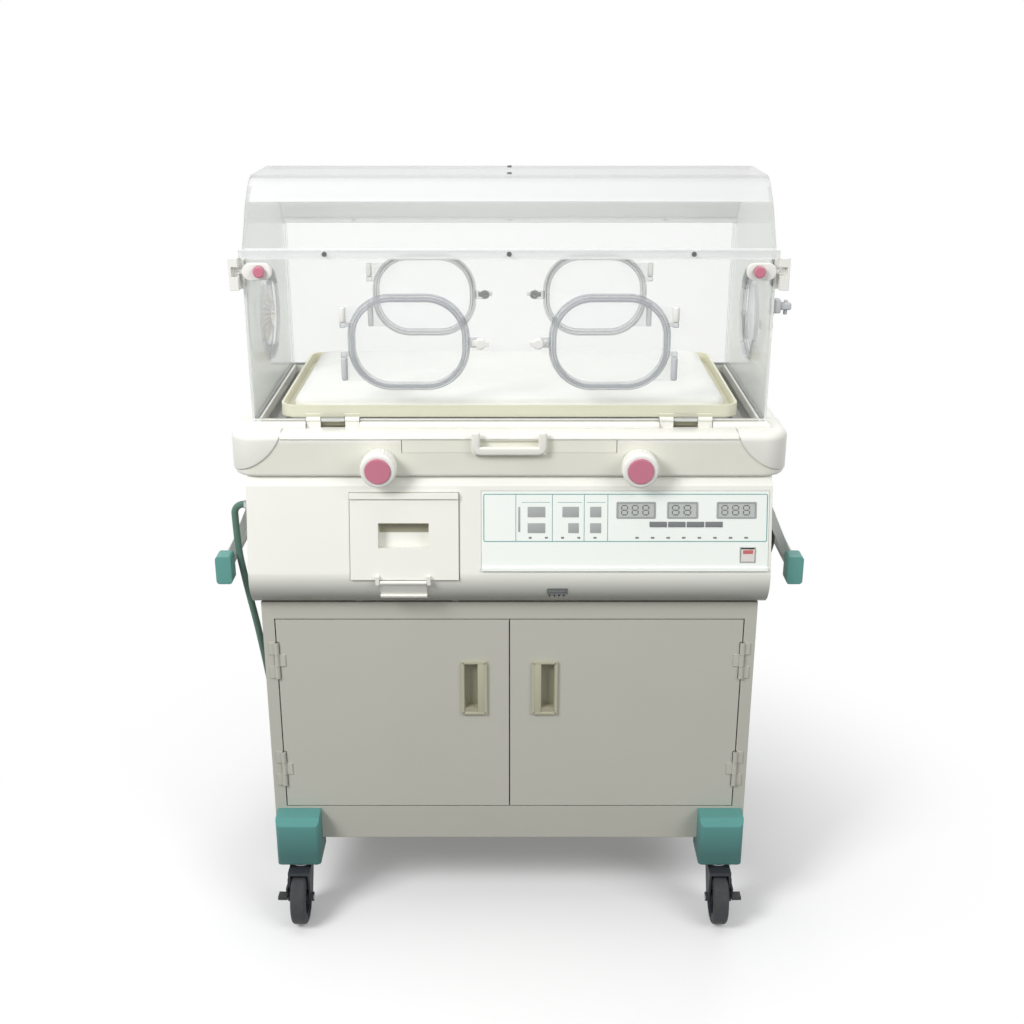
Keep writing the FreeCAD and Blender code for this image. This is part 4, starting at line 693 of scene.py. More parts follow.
class Shop:
    """Hand work with Blender's own operators, one piece at a time. Sizes are in millimetres."""

    @staticmethod
    def take(piece: Piece | None = None) -> None:
        """Put everything down, and take up one piece if it is given.

        Args:
            piece: The piece, or None.
        """
        if bpy.context.object and bpy.context.object.mode != "OBJECT":
            bpy.ops.object.mode_set(mode="OBJECT")
        bpy.ops.object.select_all(action="DESELECT")
        if piece:
            piece.select_set(True)
            bpy.context.view_layer.objects.active = piece

    @staticmethod
    def settle(piece: Piece) -> None:
        """Move a piece's place, turn and size into its mesh."""
        Shop.take(piece)
        bpy.ops.object.transform_apply(location=True, rotation=True, scale=True)

    @staticmethod
    def place(piece: Piece, matrix: Matrix) -> None:
        """Carry a settled piece to its place."""
        piece.matrix_world = matrix @ piece.matrix_world
        Shop.settle(piece)

    @staticmethod
    def modify(piece: Piece, kind: str, **settings: object) -> None:
        """Add a modifier and apply it.

        Args:
            piece: The piece.
            kind: The modifier's type.
            **settings: The modifier's values.
        """
        Shop.take(piece)
        modifier = piece.modifiers.new(kind.title(), kind)
        for key, value in settings.items():
            setattr(modifier, key, value)
        bpy.ops.object.modifier_apply(modifier=modifier.name)

    @staticmethod
    @contextmanager
    def editing(piece: Piece, kind: Pick,
                test: Callable[[object], bool] = lambda part: True) -> Iterator[None]:
        """Stay in edit mode with the chosen parts selected.

        Args:
            piece: The piece.
            kind: Verts, edges or faces.
            test: Says of each mesh element whether it is taken.

        Yields:
            Nothing, once the parts are selected.
        """
        mode, parts = kind.value
        Shop.take(piece)
        bpy.ops.object.mode_set(mode="EDIT")
        bpy.ops.mesh.select_mode(type=mode)
        bpy.ops.mesh.select_all(action="DESELECT")
        bpy.ops.object.mode_set(mode="OBJECT")
        for part in getattr(piece.data, parts):
            part.select = test(part)
        bpy.ops.object.mode_set(mode="EDIT")
        yield
        bpy.ops.object.mode_set(mode="OBJECT")

    @staticmethod
    def bevel(piece: Piece, width: float, segments: int = 3, limit: float = 30.0) -> None:
        """Round the edges that turn by more than a limit in degrees."""
        Shop.modify(piece, "BEVEL", width=width * MM, segments=segments, limit_method="ANGLE",
                    angle_limit=math.radians(limit), harden_normals=False)

    @staticmethod
    def smooth(piece: Piece, angle: float = 40.0) -> None:
        """Shade round faces smooth and keep the creases."""
        Shop.take(piece)
        bpy.ops.object.shade_smooth_by_angle(angle=math.radians(angle))

    @staticmethod
    def cut(piece: Piece, tool: Piece, way: Cut) -> None:
        """Cut a piece with a tool and throw the tool away.

        Args:
            piece: The piece.
            tool: A closed shape.
            way: Whether what the tool meets is kept or goes.
        """
        Shop.modify(piece, "BOOLEAN", operation=way.value, object=tool, solver="EXACT")
        Shop.take(tool)
        bpy.ops.object.delete()

    @staticmethod
    def block(name: str, low: Point, high: Point, bevel: float = 0.8, segments: int = 3) -> Piece:
        """A block with rounded edges.

        Args:
            name: Name of the piece.
            low: Lowest corner.
            high: Highest corner.
            bevel: Radius of the edges.
            segments: Steps in each rounding.

        Returns:
            The piece.
        """
        Shop.take()
        middle = [(a + b) / 2 * MM for a, b in zip(low, high)]
        bpy.ops.mesh.primitive_cube_add(size=1.0, location=middle)
        piece = bpy.context.object
        piece.name = name
        piece.scale = [(b - a) * MM for a, b in zip(low, high)]
        Shop.settle(piece)
        if bevel:
            Shop.bevel(piece, bevel, segments)
        return piece

    @staticmethod
    def round_uprights(piece: Piece, radius: float, segments: int) -> None:
        """Round the upright edges of a block.

        Args:
            piece: The block.
            radius: Radius of the rounding.
            segments: Steps in each rounding.
        """
        def upright(edge: bpy.types.MeshEdge) -> bool:
            """True for an edge that runs more up than across."""
            step = piece.data.vertices[edge.vertices[0]].co - piece.data.vertices[edge.vertices[1]].co
            return abs(step.z) > abs(step.x) + abs(step.y)

        with Shop.editing(piece, Pick.EDGES, upright):
            bpy.ops.mesh.bevel(offset=radius * MM, segments=segments)

    @staticmethod
    def rounded_sheet(name: str, width: float, height: float, corner: float, steps: int = 12) -> Piece:
        """A flat face with rounded corners, upright in X and Z at y = 0 and facing -Y.

        Args:
            name: Name of the piece.
            width: Width.
            height: Height.
            corner: Radius of its corners.
            steps: Steps in each corner.

        Returns:
            The piece.
        """
        Shop.take()
        bpy.ops.mesh.primitive_plane_add(size=1.0)
        piece = bpy.context.object
        piece.name = name
        piece.scale = (width * MM, height * MM, 1.0)
        piece.rotation_euler = (math.pi / 2, 0.0, 0.0)
        Shop.settle(piece)
        most = min(width, height) / 2 - 0.01
        with Shop.editing(piece, Pick.VERTS):
            bpy.ops.mesh.bevel(offset=min(corner, most) * MM, segments=steps, affect="VERTICES")
        return piece

    @staticmethod
    def thicken(piece: Piece, depth: float) -> None:
        """Push a flat upright face back to a closed slab.

        Args:
            piece: The face.
            depth: How far back it goes.
        """
        with Shop.editing(piece, Pick.FACES):
            bpy.ops.mesh.extrude_region_move(TRANSFORM_OT_translate={"value": (0.0, depth * MM, 0.0)})
            bpy.ops.mesh.select_all(action="SELECT")
            bpy.ops.mesh.normals_make_consistent(inside=False)

    @staticmethod
    def border(name: str, width: float, height: float, corner: float, band: float, depth: float,
               bevel: float = 0.0, steps: int = 12) -> Piece:
        """A rounded frame around an opening, its front at y = 0.

        Args:
            name: Name of the piece.
            width: Outer width.
            height: Outer height.
            corner: Outer corner radius.
            band: Width of the band.
            depth: Depth to the back.
            bevel: Radius of its edges.
            steps: Steps in each corner.

        Returns:
            The piece.
        """
        piece = Shop.rounded_sheet(name, width, height, corner, steps)
        with Shop.editing(piece, Pick.FACES):
            bpy.ops.mesh.inset(thickness=band * MM, depth=0.0)
            bpy.ops.mesh.delete(type="FACE")
        Shop.thicken(piece, depth)
        if bevel:
            Shop.bevel(piece, bevel)
        return piece

    @staticmethod
    def bead(name: str, width: float, height: float, corner: float, radius: float) -> Piece:
        """A round bead that follows a rounded outline, upright in X and Z.

        Args:
            name: Name of the piece.
            width: Width of the outline.
            height: Height of the outline.
            corner: Radius of the outline's corners.
            radius: Radius of the bead.

        Returns:
            The piece.
        """
        piece = Shop.rounded_sheet(name, width, height, corner, 16)
        with Shop.editing(piece, Pick.FACES):
            bpy.ops.mesh.delete(type="ONLY_FACE")
        Shop.take(piece)
        bpy.ops.object.convert(target="CURVE")
        piece.data.bevel_depth = radius * MM
        piece.data.bevel_resolution = 4
        bpy.ops.object.convert(target="MESH")
        Shop.smooth(piece, 80.0)
        return piece

    @staticmethod
    def rod(name: str, radius: float, start: Point, end: Point, sides: int = 40, bevel: float = 0.6) -> Piece:
        """A turned rod with rounded ends.

        Args:
            name: Name of the piece.
            radius: Radius of the rod.
            start: Middle of one end.
            end: Middle of the other end.
            sides: Faces round it.
            bevel: Radius of its end edges.

        Returns:
            The piece.
        """
        Shop.take()
        run = (Vector(end) - Vector(start)) * MM
        bpy.ops.mesh.primitive_cylinder_add(vertices=sides, radius=radius * MM, depth=run.length)
        piece = bpy.context.object
        piece.name = name
        lean = Vector((0.0, 0.0, 1.0)).rotation_difference(run).to_matrix().to_4x4()
        Shop.place(piece, Matrix.Translation((Vector(start) + Vector(end)) * 0.5 * MM) @ lean)
        Shop.bevel(piece, bevel, 3, 60.0)
        return piece

    @staticmethod
    def copy(piece: Piece, matrix: Matrix) -> Piece:
        """Copy a piece with its own mesh and carry the copy to its place.

        Args:
            piece: The piece.
            matrix: The move, turn or mirror.

        Returns:
            The copy.
        """
        Shop.take(piece)
        bpy.ops.object.duplicate(linked=False)
        made = bpy.context.object
        Shop.place(made, matrix)
        if matrix.determinant() < 0:
            with Shop.editing(made, Pick.FACES):
                bpy.ops.mesh.normals_make_consistent(inside=False)
        return made

    @staticmethod
    def join(name: str, pieces: Sequence[Piece]) -> Piece:
        """Join several pieces into one.

        Args:
            name: Name of the whole.
            pieces: The parts.

        Returns:
            The whole.
        """
        Shop.take(pieces[0])
        for piece in pieces:
            piece.select_set(True)
        bpy.ops.object.join()
        joined = bpy.context.object
        joined.name = name
        return joined

    @staticmethod
    def assemble(name: str, pieces: Sequence[Piece], matrix: Matrix | None = None) -> Piece:
        """Join several pieces, carry the whole to its place and shade it.

        Args:
            name: Name of the whole.
            pieces: The parts.
            matrix: Where the whole goes, if it isn't there yet.

        Returns:
            The whole.
        """
        joined = Shop.join(name, pieces)
        if matrix is not None:
            Shop.place(joined, matrix)
        Shop.smooth(joined)
        return joined


@dataclass
class SubAssembly:
    """What all sub-assemblies share: the palette and the last step of each piece."""

    palette: Palette

    def hand_over(self, piece: Piece, body: str, finish: str, slot: str,
                  replaces: Iterable[str] = ()) -> None:
        """Finish a piece: material, body and what it stands for.

        Args:
            piece: The finished mesh, at the origin.
            body: The body that it rides on.
            finish: Name of its finish.
            slot: The record's material slot; not used.
            replaces: CAD nodes that it stands for.
        """
        piece.data.materials.clear()
        piece.data.materials.append(self.palette[finish])
        piece.data.name = piece.name
        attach(piece, body)
        if replaces:
            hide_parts(*replaces)
        LOG.info("piece %s: %d faces on %s", piece.name, len(piece.data.polygons), body)

    def hand_over_pair(self, piece: Piece, side: Side, stem: str, body: str, finish: str, slot: str) -> None:
        """Mirror a piece and hand over both.

        Args:
            piece: The piece of one side.
            side: The side that it is on.
            stem: What both names start with.
            body: The body, with {} where it has the side's word.
            finish: Name of the finish.
            slot: The record's material slot.
        """
        mirrored = Shop.copy(piece, Matrix.Scale(-1.0, 4, (1.0, 0.0, 0.0)))
        for made, place in ((piece, side), (mirrored, Side(-side.value))):
            made.name = f"{stem}_{place.tag}"
            self.hand_over(made, body.format(place.tag), finish, slot)


@dataclass
class Mattress(SubAssembly):
    """The soft mattress: a filled cover swelled by a cloth simulation, with a sewn cord round it."""

    half: Pair = (376.0, 183.0)
    middle_y: float = 45.0
    low: float = 956.4
    high: float = 980.5
    corner: float = 26.0
    edge: float = 7.0
    voxel: float = 0.007
    cap: float = 0.006
    frames: int = 18
    pressure: float = 4.0
    stiffness: float = 20.0
    seam: Pair = (11.0, 14.0)
    cord_r: float = 1.7
    cord_sunk: float = 0.6

    def block(self) -> Piece:
        """Make the cut shape before it is filled.

        Returns:
            The pad.
        """
        x, y = self.half
        pad = Shop.block("mattress_pad", (-x, self.middle_y - y, self.low),
                         (x, self.middle_y + y, self.high), 0.0)
        Shop.round_uprights(pad, self.corner, 8)
        Shop.bevel(pad, self.edge, 3, 50.0)
        return pad

    def swell(self, pad: Piece) -> None:
        """Fill the cover with a cloth simulation, then cap how far each point moved.

        Args:
            pad: The remeshed pad.
        """
        before = [vertex.co.copy() for vertex in pad.data.vertices]
        Shop.take(pad)
        cloth = pad.modifiers.new("Cloth", "CLOTH")
        cloth.settings.use_pressure = True
        cloth.settings.uniform_pressure_force = self.pressure
        cloth.settings.quality = 4
        cloth.settings.tension_stiffness = self.stiffness
        cloth.settings.compression_stiffness = self.stiffness
        cloth.settings.effector_weights.gravity = 0.0
        cloth.point_cache.frame_end = self.frames
        for step in range(1, self.frames + 1):
            bpy.context.scene.frame_set(step)
        bpy.ops.object.modifier_apply(modifier=cloth.name)
        bpy.context.scene.frame_set(1)
        for vertex, old in zip(pad.data.vertices, before):
            move = vertex.co - old
            if move.length > self.cap:
                vertex.co = old + move * (self.cap / move.length)
            vertex.co.z = max(vertex.co.z, self.low * MM)

    def piping(self, pad: Piece) -> None:
        """A sewn cord round the pad's side, where its two halves meet.

        Args:
            pad: The finished pad.
        """
        low, high = (self.low + height for height in self.seam)
        near = [vertex.co for vertex in pad.data.vertices if low * MM < vertex.co.z < high * MM]
        half_x = max(point.x for point in near) / MM - self.cord_sunk
        half_y = max(point.y for point in near) / MM - self.middle_y - self.cord_sunk
        cord = Shop.bead("mattress_piping", half_x * 2, half_y * 2, self.corner + 4.0, self.cord_r)
        Shop.place(cord, shift(0.0, self.middle_y, (low + high) / 2) @ turn(90.0, "X"))
        self.hand_over(cord, "mattress_tray", "mattress", "mattress")

    def build(self) -> None:
        """Make the pad, swell it, dress it and sew its cord on."""
        pad = self.block()
        Shop.modify(pad, "REMESH", mode="VOXEL", voxel_size=self.voxel)
        self.swell(pad)
        Shop.modify(pad, "SUBSURF", levels=1, render_levels=1)
        Shop.smooth(pad, 180.0)
        self.hand_over(pad, "mattress_tray", "mattress", "mattress", ("mattress",))
        self.piping(pad)


@dataclass
class TrayBumper(SubAssembly):
    """The white moulded corners that wrap the tray's front, and the rim along its top."""

    half_x: float = 470.0
    front_y: float = -206.5
    back_y: float = 296.5
    low: float = 869.0
    high: float = 937.0
    radius: float = 42.0
    proud: float = 2.4
    shoulder: float = 13.0
    scoop: Point = (478.0, 972.0, 100.0)
    inner: Pair = (428.0, -172.0)
    band: tuple[float, float, float] = (385.0, -172.5, 7.5)

    def shell(self) -> Piece:
        """The tray's outside, grown a little all round.

        Returns:
            The shell as a solid.
        """
        out, top = self.proud, self.high + self.proud * 0.6
        body = Shop.block("tray_bumper", (-self.half_x - out, self.front_y - out, self.low),
                          (self.half_x + out, self.back_y + out, top), 0.0)
        Shop.round_uprights(body, self.radius + out, 18)

        def is_rim(edge: bpy.types.MeshEdge) -> bool:
            """True for an edge of the top face."""
            return all(abs(body.data.vertices[k].co.z - top * MM) < 1e-5 for k in edge.vertices)

        with Shop.editing(body, Pick.EDGES, is_rim):
            bpy.ops.mesh.bevel(offset=self.shoulder * MM, segments=6)
        return body

    def build(self) -> None:
        """Cut one corner and half of the band from the shell, round them and mirror them."""
        corner = self.shell()
        x, z, radius = self.scoop
        scoop = Shop.rod("scoop", radius, (-x, self.front_y - 30, z), (-x, self.front_y + 105, z), 96, 0.2)
        Shop.cut(corner, scoop, Cut.KEEP)
        side, face = self.inner
        Shop.cut(corner, Shop.block("inside", (-side, face, 800.0), (side, 400.0, 1000.0), 0.0), Cut.AWAY)
        band = self.shell()
        reach, back, down = self.band
        window = Shop.block("reach", (-reach, self.front_y - 20, self.high - down),
                            (0.0, back, self.high + 9), 0.0)
        Shop.cut(band, window, Cut.KEEP)
        corner = Shop.join("tray_corner", [corner, band])
        Shop.bevel(corner, 1.2, 3, 40.0)
        Shop.smooth(corner, 35.0)
        self.hand_over_pair(corner, Side.LEFT, "tray_corner", "frame", "white_shell", "white_shell")


@dataclass
class TrayDetails(SubAssembly):
    """The cassette tray's moulded pull, and a thin strip in the gap under the mattress tray that is coloured
    dark olive as painted gap shadow.
    """

    pull_x: float = 63.0
    pull_z: Pair = (904.2, 944.0)
    pull_full: float = 90.0
    pull_depth: float = 9.4
    front: float = -218.8
    gap_shade_strip: tuple[Point, Point] = ((-424.0, -157.4, 938.5), (424.0, -155.4, 952.0))

    def build(self) -> None:
        """A rounded frame cut open at its top for the pull, and a dark olive strip of painted gap shadow."""
        low, high = self.pull_z
        pull = Shop.border("cassette_pull", self.pull_x * 2, self.pull_full, 15.0, 14.0, self.pull_depth)
        Shop.place(pull, shift(0.0, self.front, low + self.pull_full / 2))
        keep = Shop.block("keep", (-self.pull_x - 9, self.front - 9, low - 9),
                          (self.pull_x + 9, self.front + 30, high), 0.0)
        Shop.cut(pull, keep, Cut.KEEP)
        Shop.bevel(pull, 3.4, 4, 50.0)
        Shop.smooth(pull, 50.0)
        self.hand_over(pull, "cassette_tray", "white_shell", "white_shell")
        # The strip's dark olive finish is painted shadow for the gap under the mattress tray
        gap_shade_strip = Shop.block("deck_gap_shade_strip", *self.gap_shade_strip, 0.6)
        Shop.smooth(gap_shade_strip)
        self.hand_over(gap_shade_strip, "frame", "gap_shade_strip", "cream")


@dataclass
class PortTrim(SubAssembly):
    """Round beads on the port doors and on the rings behind them, and the caps over their hinges."""

    port_x: float = 167.0
    port_z: float = 1085.0
    face_front: float = -163.5
    face_rear: float = 253.5
    size: tuple[float, float, float] = (198.0, 158.0, 70.0)
    end_size: tuple[float, float, float] = (172.0, 172.0, 86.0)
    end_place: Point = (436.0, 45.0, 1092.0)
    sleeve_r: float = 5.6
    sleeve_out: Pair = (9.0, -7.5)
    sleeves: tuple[tuple[str, str, float, float], ...] = (
        ("low", "hinge_grey", -62.6, -24.4), ("high", "knob_white", 35.4, 60.6))

    def beads(self, tag: str, size: Point, place: Matrix, door: str, ring: str) -> None:
        """The door's bead and the ring's bead of one port.

        Args:
            tag: Tail of the names.
            size: Width, height and corner radius of the port.
            place: Carries a port drawn at the origin, facing -Y, to its place.
            door: The door's body.
            ring: The body that carries the ring.
        """
        finish = "ring_clear" if "front" in tag else "ring_faint"
        width, height, corner = size
        for part, body, grow, radius, y in (("door", door, -13.0, 3.3, -11.6),
                                            ("ring", ring, 1.0, 1.8, -2.2)):
            bead = Shop.bead(f"port_{part}_bead_{tag}", width + grow, height + grow,
                             corner + grow / 2, radius)
            Shop.place(bead, place @ shift(0.0, y, 0.0))
            self.hand_over(bead, body, finish, "port_clear")

    def hinge(self, tag: str, hand: int, place: Matrix) -> None:
        """The grey and the white cap over the two knuckles of a door.

        Args:
            tag: Tail of the names.
            hand: 1 where the hinge is on the right as the port is drawn, else -1.
            place: Carries the drawn port to its place.
        """
        x, y = (self.size[0] / 2 + self.sleeve_out[0]) * hand, self.sleeve_out[1]
        for name, finish, low, high in self.sleeves:
            cap = Shop.rod(f"port_hinge_{name}_{tag}", self.sleeve_r, (x, y, low), (x, y, high), 28, 2.4)
            Shop.place(cap, place)
            Shop.smooth(cap, 60.0)
            self.hand_over(cap, "port_door_" + tag, finish, "knob_white")

    def build(self) -> None:
        """Dress the four hand ports and the round port."""
        for wall, face, ring, facing in (("front", self.face_front, "front_panel", 1),
                                         ("rear", self.face_rear, "frame", -1)):
            for side in Side:
                tag = f"{wall}_{side.tag}"
                place = shift(side.value * self.port_x, face, self.port_z) @ turn(90.0 - 90.0 * facing, "Z")
                self.beads(tag, self.size, place, "port_door_" + tag, ring)
                self.hinge(tag, side.value * facing, place)
        self.beads("end", self.end_size, shift(*self.end_place) @ turn(90.0, "Z"), "end_port_door", "frame")


@dataclass
class LatchCase(SubAssembly):
    """The white moulded cases of the front panel's corner latches."""

    size: tuple[float, float, float] = (47.6, 27.6, 12.8)
    middle: Pair = (411.0, 1203.0)
    button_x: float = 407.0
    button_r: float = 9.7
    front: float = -172.4
    back: float = -163.6

    def build(self) -> None:
        """A rounded plate with a hole for the button, mirrored for the left corner."""
        x, z = self.middle
        case = Shop.rounded_sheet("latch_case_right", *self.size)
        Shop.thicken(case, self.back - self.front)
        Shop.place(case, shift(x, self.front, z))
        drill = Shop.rod("drill", self.button_r, (self.button_x, self.front - 4, z),
                         (self.button_x, self.back + 4, z), 48, 0.1)
        Shop.cut(case, drill, Cut.AWAY)
        Shop.bevel(case, 1.0, 3, 50.0)
        Shop.smooth(case, 35.0)
        self.hand_over_pair(case, Side.RIGHT, "latch_case", "front_panel", "knob_white", "white_shell")


@dataclass(frozen=True)
class KeyRow:
    """A row of like keys or lamps on the control panel: how far each stands out, and its rounding."""

    start: float
    pitch: float
    count: int
    width: float
    rise: Pair
    proud: float = 0.7
    soft: float = 0.5
    steps: int = 2


@dataclass
class ControlPrint(SubAssembly):
    """The printed and raised parts of the control panel, drawn flat and laid on the slanted front."""

    lean: float = math.degrees(math.atan2(35.0, 148.0))
    lip: Pair = (-245.0, 700.0)
    face: float = -1.0
    sides: Pair = (-44.0, 438.0)
    rise: Pair = (57.0, 139.0)
    dividers: tuple[float, ...] = (11.0, 73.0, 127.0, 167.0)
    underlines: tuple[Pair, ...] = ((21.0, 69.0), (82.0, 123.0), (131.0, 163.0))
    displays: tuple[Pair, ...] = ((184.0, 246.0), (270.0, 318.0), (354.0, 417.0))
    readouts: tuple[tuple[float, float, float, float], ...] = (
        (31.0, 61.0, 99.0, 117.0), (31.0, 61.0, 72.0, 89.0), (90.0, 118.0, 99.0, 117.0),
        (100.0, 118.0, 72.0, 89.0), (137.0, 156.0, 99.0, 117.0), (137.0, 156.0, 72.0, 89.0),
        (15.0, 18.5, 74.0, 117.0))
    rows: tuple[KeyRow, ...] = (
        KeyRow(238.0, 31.6, 4, 29.5, (82.0, 91.5), 1.1, 0.7, 3),
        KeyRow(33.0, 27.5, 5, 5.0, (62.5, 65.5)),
        KeyRow(214.0, 26.5, 8, 6.0, (62.5, 65.5)))
    window_z: float = 111.0
    figure_low: float = 103.0
    figure_high: float = 16.0

    def plate(self, across: Pair, rise: Pair, proud: float, soft: float, steps: int) -> Piece:
        """A low plate that stands out from the print.

        Args:
            across: Its left and right edge.
            rise: Its lower and upper edge.
            proud: How far it stands out.
            soft: Rounding of its edges.
            steps: Steps in the rounding.

        Returns:
            The plate.
        """
        return Shop.block("plate", (across[0], self.face - proud, rise[0]),
                          (across[1], self.face + 0.2, rise[1]), soft, steps)

    def lay(self, name: str, parts: Sequence[Piece], finish: str, slot: str = "panel_print") -> None:
        """Join drawn parts, lay them on the front and hand them over."""
        piece = Shop.assemble(name, parts, shift(0.0, *self.lip) @ turn(-self.lean, "X"))
        self.hand_over(piece, "frame", finish, slot)

    def outline(self) -> None:
        """The coloured outline with its dividers and underlines."""
        (left, right), (low, high) = self.sides, self.rise
        ring = Shop.border("panel_outline", right - left, high - low, 3.0, 1.3, 0.5)
        Shop.place(ring, shift((left + right) / 2, self.face - 0.35, (low + high) / 2))
        lines = [((x - 0.5, x + 0.5), (low + 0.8, high - 0.8), 0.3) for x in self.dividers]
        lines += [(span, (124.0, 124.7), 0.25) for span in self.underlines]
        parts = [ring] + [self.plate(across, rise, proud, 0.1, 1) for across, rise, proud in lines]
        self.lay("panel_outline", parts, "teal_print")

    def keys(self) -> None:
        """Small read-outs, the dark key bar and the rows of lamps."""
        light = [self.plate((x0, x1), (low, high), 0.5, 0.4, 2) for x0, x1, low, high in self.readouts]
        self.lay("panel_readouts", light, "key_grey")
        dark = []
        for row in self.rows:
            for k in range(row.count):
                x = row.start + k * row.pitch
                dark.append(self.plate((x, x + row.width), row.rise, row.proud, row.soft, row.steps))
        self.lay("panel_keys", dark, "key_dark")

    def digit(self, x: float, width: float) -> list[Piece]:
        """The seven bars of one figure.

        Args:
            x: Left edge.
            width: Width.

        Returns:
            The bars.
        """
        bar, half, low = width * 0.17, self.figure_high / 2, self.figure_low
        bars = [((x + bar, low + level * half - bar / 2), (x + width - bar, low + level * half + bar / 2))
                for level in (0, 1, 2)]
        bars += [((side, low + level * half + bar * 0.6), (side + bar, low + (level + 1) * half - bar * 0.6))
                 for level in (0, 1) for side in (x, x + width - bar)]
        return [Shop.block("bar", (a, -0.75, b), (c, -0.3, d), 0.15, 1) for (a, b), (c, d) in bars]

    def windows(self) -> None:
        """Unlit seven-bar figures behind the display windows and a thin frame around each window."""
        bars, rims = [], []
        for left, right in self.displays:
            count = 3 if right - left > 55 else 2
            pitch = (right - left - 8.0) / count
            for k in range(count):
                bars += self.digit(left + 5.5 + k * pitch, pitch * 0.66)
        self.lay("display_figures", bars, "segment", "display")
        for left, right in self.displays:
            rim = Shop.border("window_rim", right - left + 5.0, 29.0, 2.5, 2.6, 0.8, 0.25, 4)
            Shop.place(rim, shift((left + right) / 2, self.face - 0.55, self.window_z))
            rims.append(rim)
        self.lay("display_rims", rims, "key_grey")

    def build(self) -> None:
        """Make all the printed parts."""
        self.outline()
        self.keys()
        self.windows()


@dataclass
class DoorPull(SubAssembly):
    """The moulded pull of a cabinet door: a raised frame with a soft grip along one side."""

    low: Pair = (41.0, 414.0)
    high: Pair = (85.0, 518.0)
    front: float = -213.2
    depth: float = 4.2
    lap: float = 2.0
    inset: float = 3.5
    grip: float = 12.5

    def build(self) -> None:
        """Make the right pull's frame and mirror it for the left door."""
        (x0, z0), (x1, z1) = self.low, self.high
        rim = Shop.border("rim", x1 - x0 + self.lap, z1 - z0 + self.lap, 3.0, 5.0, self.depth, 1.1, 6)
        Shop.place(rim, shift((x0 + x1) / 2, self.front, (z0 + z1) / 2))
        edge = x0 + self.inset
        grip = Shop.block("grip", (edge, self.front, z0 + self.inset),
                          (edge + self.grip, self.front + 4.0, z1 - self.inset), 1.2)
        pull = Shop.assemble("pull", [rim, grip])
        self.hand_over_pair(pull, Side.RIGHT, "door_pull_rim", "cabinet_door_{}", "pull_frame", "cream")


@dataclass
class HoodTrim(SubAssembly):
    """The dark seal under the hood and the cement beads in the corners of the clear sheets."""

    half_x: float = 436.0
    front: float = -163.5
    rear: float = 253.5
    base: float = 947.5
    shoulder: float = 1225.0
    lap: float = 1.5
    sheet: float = 7.0
    seal: Pair = (-0.4, 2.4)
    bead_r: float = 2.2

    def build(self) -> None:
        """A soft strip along the foot of the fixed walls, and a clear bead up each rear corner."""
        low, high = (self.base + step for step in self.seal)
        outer, inner = self.half_x + self.lap, self.half_x - self.sheet
        spans = [((-outer, self.front + 8), (-inner, self.rear)),
                 ((inner, self.front + 8), (outer, self.rear)),
                 ((-self.half_x, self.rear - self.sheet), (self.half_x, self.rear + self.lap))]
        strips = [Shop.block("seal", (*near, low), (*far, high), 1.0) for near, far in spans]
        self.hand_over(Shop.assemble("hood_seal", strips), "frame", "gasket", "black_plastic")
        y = self.rear - self.sheet
        beads = [Shop.rod("bead", self.bead_r, (x, y, self.base + 3), (x, y, self.shoulder), 12, 0.3)
                 for x in (-self.half_x + 6.5, self.half_x - 6.5)]
        self.hand_over(Shop.assemble("cement_beads", beads), "frame", "port_clear", "port_clear")


@dataclass(frozen=True)
class Cover:
    """A flat screwed cover on the back: its lowest and highest x and z, the face under it and its louvres."""

    name: str
    low: Pair
    high: Pair
    y: float
    slots: int
    finish: str


